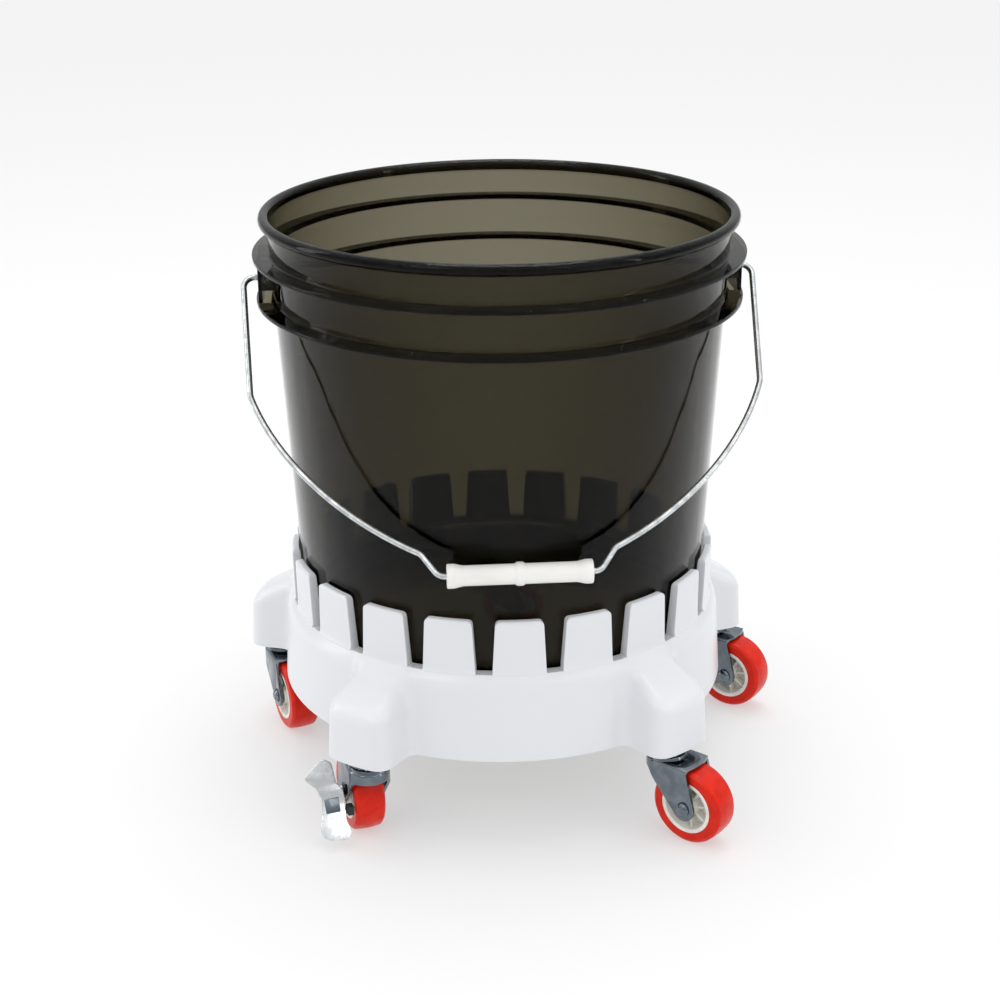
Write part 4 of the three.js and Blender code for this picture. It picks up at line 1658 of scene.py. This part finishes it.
    def hub(self) -> bpy.types.Mesh:
        """Rim, web, boss and spokes of the wheel's core, drawn with the axle along Z."""
        sizes = self.sizes
        half = sizes.wheel_width / 2
        rim = sizes.wheel_radius - sizes.tread_depth - 0.05
        inner, boss, web = rim - sizes.hub_rim, sizes.hub_boss, sizes.hub_web / 2
        side = [
            (sizes.hub_bore, half, 0.3),
            (boss, half, 0.6),
            (boss + 0.4, web, 0.8),
            (inner - 0.5, web, 0.9),
            (inner, half, 0.6),
            (rim, half, 0.15),
        ]
        outline = side + [(r, -z, round_) for r, z, round_ in reversed(side)]
        body = turned(rounded_outline(outline, 4), 96)
        spoke = bevelled(
            box_mesh((boss - 0.3, -0.8, -half + 3.4), (inner + 0.2, 0.8, half - 3.4)), 0.3, 2
        )
        spokes = self.growers.round_the_axis(spoke, sizes.spokes, 11)
        return merged([body, spokes], "hub")

    def tread(self) -> bpy.types.Mesh:
        """The crowned tyre with rounded shoulders, drawn with the axle along Z."""
        sizes = self.sizes
        half, radius = sizes.wheel_width / 2, sizes.wheel_radius
        inner = radius - sizes.tread_depth
        steps = 6
        crown = [
            (
                radius - sizes.tread_crown * (i / steps) ** 2,
                half * sizes.tread_flat * i / steps,
            )
            for i in range(-steps, steps + 1)
        ]
        shoulder = [
            (inner, -half, 0.4),
            (radius - 2.6, -half, 1.6),
            (crown[0][0], -half + 1.7, 2.2),
            (*crown[1], 0),
        ]
        low = rounded_outline(shoulder, 5, closed=False)
        high = [(r, -z) for r, z in reversed(low)]
        return turned([*low[:-1], *crown[1:-1], *high[1:]], 128)

    def dress(self) -> None:
        """Place the caster's pieces and dress the CAD nodes that stay."""
        name, finishes = self.name, self.finishes
        balls = self.growers.round_the_axis(self.ball(), self.sizes.balls)
        swivel, wheel = f"{name}_swivel", f"{name}_wheel"
        fork = merged([self.fork(), self.race_bowl()], "fork")
        upright, wheelwise = self.place, self.axle_place
        zinc = (finishes.zinc, "zinc_steel")
        wire = (finishes.wire, "steel_wire")
        ivory = (finishes.hub, "ivory_plastic")
        red = (finishes.tread, "red_polyurethane")
        rows = [
            ("fork", fork, upright, swivel, zinc),
            ("ball_ring", balls, upright, swivel, wire),
            ("axle", self.rivet(), wheelwise, swivel, zinc),
            ("top_cup", self.cup(), upright, "dolly", zinc),
            ("hub", self.hub(), wheelwise, wheel, ivory),
            ("tread", self.tread(), wheelwise, wheel, red),
        ]
        for part, mesh, place, body, (finish, slot) in rows:
            Piece(
                name=f"{name}_{part}_finished",
                mesh=moved(mesh, place),
                finish=finish,
                body=body,
                slot=slot,
                stands_for=(f"{name}_{part}",),
            ).place()
        dress_node(f"{name}_stem", finishes.zinc)
        dress_node(f"{name}_stem_nut", finishes.zinc)
        dress_node(f"{name}_bush", finishes.wire)


@dataclass
class Brake:
    """The rocker on the braked caster's axle: a cheek beside the leg, and a waisted foot plate.

    All sizes are in millimetres, and the lean is in degrees up from level. The foot plate's
    outline is given up its slope, from its middle, and out past the cheek's inner face, with the
    radius of each corner.
    """

    finishes: Finishes
    caster: Caster
    thickness: float = 1.5
    inside: float = 15.0
    hub_radius: float = 6.5
    lean: float = 63.0
    ahead: float = 19.0
    shoe_ahead: float = 19.5
    shoe_below: float = 1.6
    shoe_half: float = 3.0
    nut_half: float = 4.4
    nut_height: float = 3.6
    boss_bore: float = 3.3
    dish: float = 0.003
    waist_sink: float = 0.6
    pad_half: float = 4.6
    pad_reach: tuple[float, float] = (4.0, 13.2)
    pad_half_thickness: float = 0.9
    pad_sink: float = 0.6
    pedal: tuple[tuple[float, float, float], ...] = (
        (-20, 2, 3.5),
        (-15, -1, 2.5),
        (-7, 1, 1.5),
        (-2, 0.4, 0.5),
        (12, 0.4, 0.5),
        (16, 4, 2.0),
        (29, 5.5, 3.0),
        (33, 11, 3.5),
        (22, 25, 3.0),
        (15, 18, 5.0),
        (8, 15, 5.0),
        (-2, 15.5, 4.0),
        (-10, 18.5, 5.0),
        (-18, 16.5, 5.0),
    )

    def __post_init__(self) -> None:
        """Find the rocker's own frame: the axle at the origin, trailing along X, out along Y."""
        sizes = self.caster.sizes
        to_axle = Matrix.Translation((sizes.trail * MM, 0, sizes.wheel_radius * MM))
        self.place = self.caster.place @ to_axle

    def on_pedal(self, along: float) -> Point:
        """The place of a point of the pedal's slope, from the axle."""
        lean = math.radians(self.lean)
        return along * math.cos(lean) - self.ahead, along * math.sin(lean)

    def foot_plate(self) -> bpy.types.Mesh:
        """The waisted plate, dished a little lengthwise, with rounded edges."""
        half = self.thickness / 2
        corners = [(along, self.inside + past, radius) for along, past, radius in self.pedal]
        plate = prism(rounded_outline(corners, 5), -half, half, "foot_plate")
        bevelled(plate, 0.4, 3)
        shape = bmesh.new()
        shape.from_mesh(plate)
        for level in np.arange(-18, 32, 2.5):
            sliced(shape, (level * MM, 0, 0), (1, 0, 0))
        for spot in shape.verts:
            along = spot.co.x / MM
            waist = math.exp(-(((along - 3) / 5) ** 2))
            spot.co.z += MM * (self.dish * along * along - self.waist_sink * waist)
        shape.to_mesh(plate)
        shape.free()
        middle = self.on_pedal(0)
        place = Matrix.Translation((middle[0] * MM, 0, middle[1] * MM))
        return moved(plate, place @ Matrix.Rotation(math.radians(-self.lean), 4, "Y"))

    def cheek(self) -> bpy.types.Mesh:
        """The flat arm from the axle to the foot plate, with its boss."""
        high, low = self.inside + self.thickness, self.inside
        corners = [(0, self.hub_radius), self.on_pedal(14), self.on_pedal(-5)]
        corners.append((0, -self.hub_radius))
        arm = side_prism(corners, low, high, "cheek")
        bevelled(arm, 0.3, 2)
        boss = turned(
            rounded_outline(
                [
                    (self.boss_bore, -high - 0.3, 0),
                    (self.hub_radius - 0.2, -high - 0.3, 0.5),
                    (self.hub_radius, 0.05 - low, 0.3),
                    (self.boss_bore, 0.05 - low, 0),
                ],
                3,
            ),
            48,
            Axis.ALONG_Y,
        )
        return merged([arm, boss], "cheek")

    def pad(self) -> bpy.types.Mesh:
        """The square pressed pad in the foot plate's waist."""
        half, thick = self.pad_half, self.pad_half_thickness
        near, far = (self.inside + reach for reach in self.pad_reach)
        block = box_mesh((-half, near, -thick), (half, far, thick))
        bevelled(block, 0.5, 3)
        middle = self.on_pedal(3)
        place = Matrix.Translation(((middle[0] - self.pad_sink) * MM, 0, middle[1] * MM))
        return moved(block, place @ Matrix.Rotation(math.radians(-self.lean), 4, "Y"))

    def shoe(self) -> bpy.types.Mesh:
        """The friction block behind the cheek."""
        half, x, z = self.shoe_half, -self.shoe_ahead, -self.shoe_below
        block = box_mesh((x - half, 10.7, z - half), (x + half, 14.7, z + half))
        return bevelled(block, 0.6, 3)

    def nut(self) -> bpy.types.Mesh:
        """The square nut on the pin, chamfered."""
        start = self.inside + self.thickness + 0.3
        half = self.nut_half
        block = box_mesh((-half, start, -half), (half, start + self.nut_height, half))
        return bevelled(block, 0.7, 3)

    def dress(self) -> None:
        """Place the brake's pieces."""
        # The lever takes the zinc painted near white, a painted highlight.
        bright, zinc = self.finishes.zinc_painted_highlight, self.finishes.zinc
        lever = merged([self.foot_plate(), self.cheek()], "lever")
        swivel = f"{self.caster.name}_swivel"
        rows = [
            ("brake_lever", lever, "brake", bright, "zinc_steel"),
            ("brake_shoe", self.shoe(), "brake", self.finishes.rubber, "black_rubber"),
            ("brake_nut", self.nut(), swivel, zinc, "zinc_steel"),
        ]
        for name, mesh, body, finish, slot in rows:
            Piece(
                name=f"{name}_finished",
                mesh=moved(mesh, self.place),
                finish=finish,
                body=body,
                slot=slot,
                stands_for=(name,),
            ).place()
        Piece(
            name="brake_pad_plate",
            mesh=moved(self.pad(), self.place),
            finish=zinc,
            body="brake",
            slot="zinc_steel",
        ).place()


# ---------------------------------------------------------------- studio


@dataclass
class Lamp:
    """One soft box: where it is, what it faces, its size and its power."""

    name: str
    place: tuple[float, float, float]
    size: tuple[float, float]
    power: float
    colour: str = "#FFFFFF"

    def light(self, target: Vector) -> None:
        """Put the lamp in the scene, facing a point."""
        data = bpy.data.lights.new(self.name, "AREA")
        data.shape = "RECTANGLE"
        data.size, data.size_y = self.size
        data.energy = self.power
        data.color = linear(self.colour)[:3]
        thing = bpy.data.objects.new(self.name, data)
        thing.location = self.place
        thing.rotation_euler = (target - thing.location).to_track_quat("-Z", "Y").to_euler()
        bpy.context.scene.collection.objects.link(thing)


@dataclass
class Studio:
    """A plain pale floor, a bright surround, soft boxes and the camera.

    Places and sizes are in metres, the lens in millimetres and the turn in degrees; pitch and
    roll are in radians.
    """

    lens: float = 67.47
    turn: float = 4.25
    pitch: float = 0.376
    roll: float = 0.008
    spot: tuple[float, float, float] = (-0.0868, -1.1559, 0.6337)
    floor_size: float = 24.0
    horizon: float = 0.45
    zenith: float = 1.35
    floor_glow: float = 0.46
    aim: tuple[float, float, float] = (0, 0, 0.18)
    lamps: tuple[Lamp, ...] = (
        Lamp("top_box", (0.1, 0.3, 2.2), (1.2, 1.2), 17),
        Lamp("key_box", (-1.3, -1.5, 1.6), (0.8, 0.8), 3.5),
        Lamp("front_box", (1.1, -1.7, 1.3), (1.0, 1.0), 2.5),
        Lamp("right_strip", (1.5, -0.9, 0.7), (0.12, 1.4), 2),
        Lamp("left_strip", (-1.6, 0.3, 0.7), (0.35, 1.4), 4),
    )

    def camera(self) -> None:
        """Place the camera, and make it the scene's."""
        data = bpy.data.cameras.new("camera")
        data.lens = self.lens
        data.sensor_width = 36.0
        data.clip_end = 60.0
        thing = bpy.data.objects.new("camera", data)
        thing.matrix_world = (
            Matrix.Translation(self.spot)
            @ Matrix.Rotation(math.radians(-self.turn), 4, "Z")
            @ Matrix.Rotation(math.pi / 2 - self.pitch, 4, "X")
            @ Matrix.Rotation(-self.roll, 4, "Z")
        )
        bpy.context.scene.collection.objects.link(thing)
        bpy.context.scene.camera = thing

    def floor(self) -> None:
        """Lay the floor."""
        half = self.floor_size / 2 / MM
        corners = [(-half, -half, 0), (half, -half, 0), (half, half, 0), (-half, half, 0)]
        mesh = mesh_of("studio_floor", corners, [(0, 1, 2, 3)])
        material, tree = blank_material("pale_studio_floor")
        shader = add_node(
            tree,
            "ShaderNodeBsdfPrincipled",
            {
                "Base Color": linear("#AAAAAA"),
                "Roughness": 0.9,
                "Specular IOR Level": 0.1,
                "Emission Color": linear("#FFFFFF"),
                "Emission Strength": self.floor_glow,
            },
        )
        add_node(tree, "ShaderNodeOutputMaterial", {"Surface": shader.outputs[0]})
        mesh.materials.append(material)
        thing = bpy.data.objects.new("studio_floor", mesh)
        bpy.context.scene.collection.objects.link(thing)

    def world(self) -> None:
        """Surround the scene with soft light, brightest overhead."""
        world = bpy.data.worlds.new("bright_surround")
        world.use_nodes = True
        tree = world.node_tree
        tree.nodes.clear()
        direction = add_node(tree, "ShaderNodeTexCoord")
        rise = add_node(tree, "ShaderNodeSeparateXYZ", {0: direction.outputs["Generated"]})
        strength = add_node(
            tree,
            "ShaderNodeMapRange",
            {"Value": rise.outputs["Z"], "To Min": self.horizon, "To Max": self.zenith},
        )
        back = add_node(
            tree,
            "ShaderNodeBackground",
            {"Color": linear("#FFFFFF"), "Strength": strength.outputs[0]},
        )
        add_node(tree, "ShaderNodeOutputWorld", {"Surface": back.outputs[0]})
        bpy.context.scene.world = world

    def build(self) -> None:
        """Set up the whole studio."""
        bpy.context.scene.view_settings.view_transform = "Standard"
        self.camera()
        self.floor()
        self.world()
        for lamp in self.lamps:
            lamp.light(Vector(self.aim))


def main() -> None:
    """Build every sub-assembly in order, and report each piece."""
    logging.basicConfig(level=logging.INFO, format="%(message)s")
    Studio().build()
    finishes = Finishes()
    growers = Growers(finishes)
    Bucket(finishes).dress()
    Bail(finishes, growers).dress()
    Dolly(finishes, growers).dress()
    sizes = CasterSizes()
    casters = {
        name: Caster(name, finishes, growers, sizes, braked=name == "front_left")
        for name in CASTER_NAMES
    }
    for caster in casters.values():
        caster.dress()
    Brake(finishes, casters["front_left"]).dress()


if __name__ == "__main__":
    main()
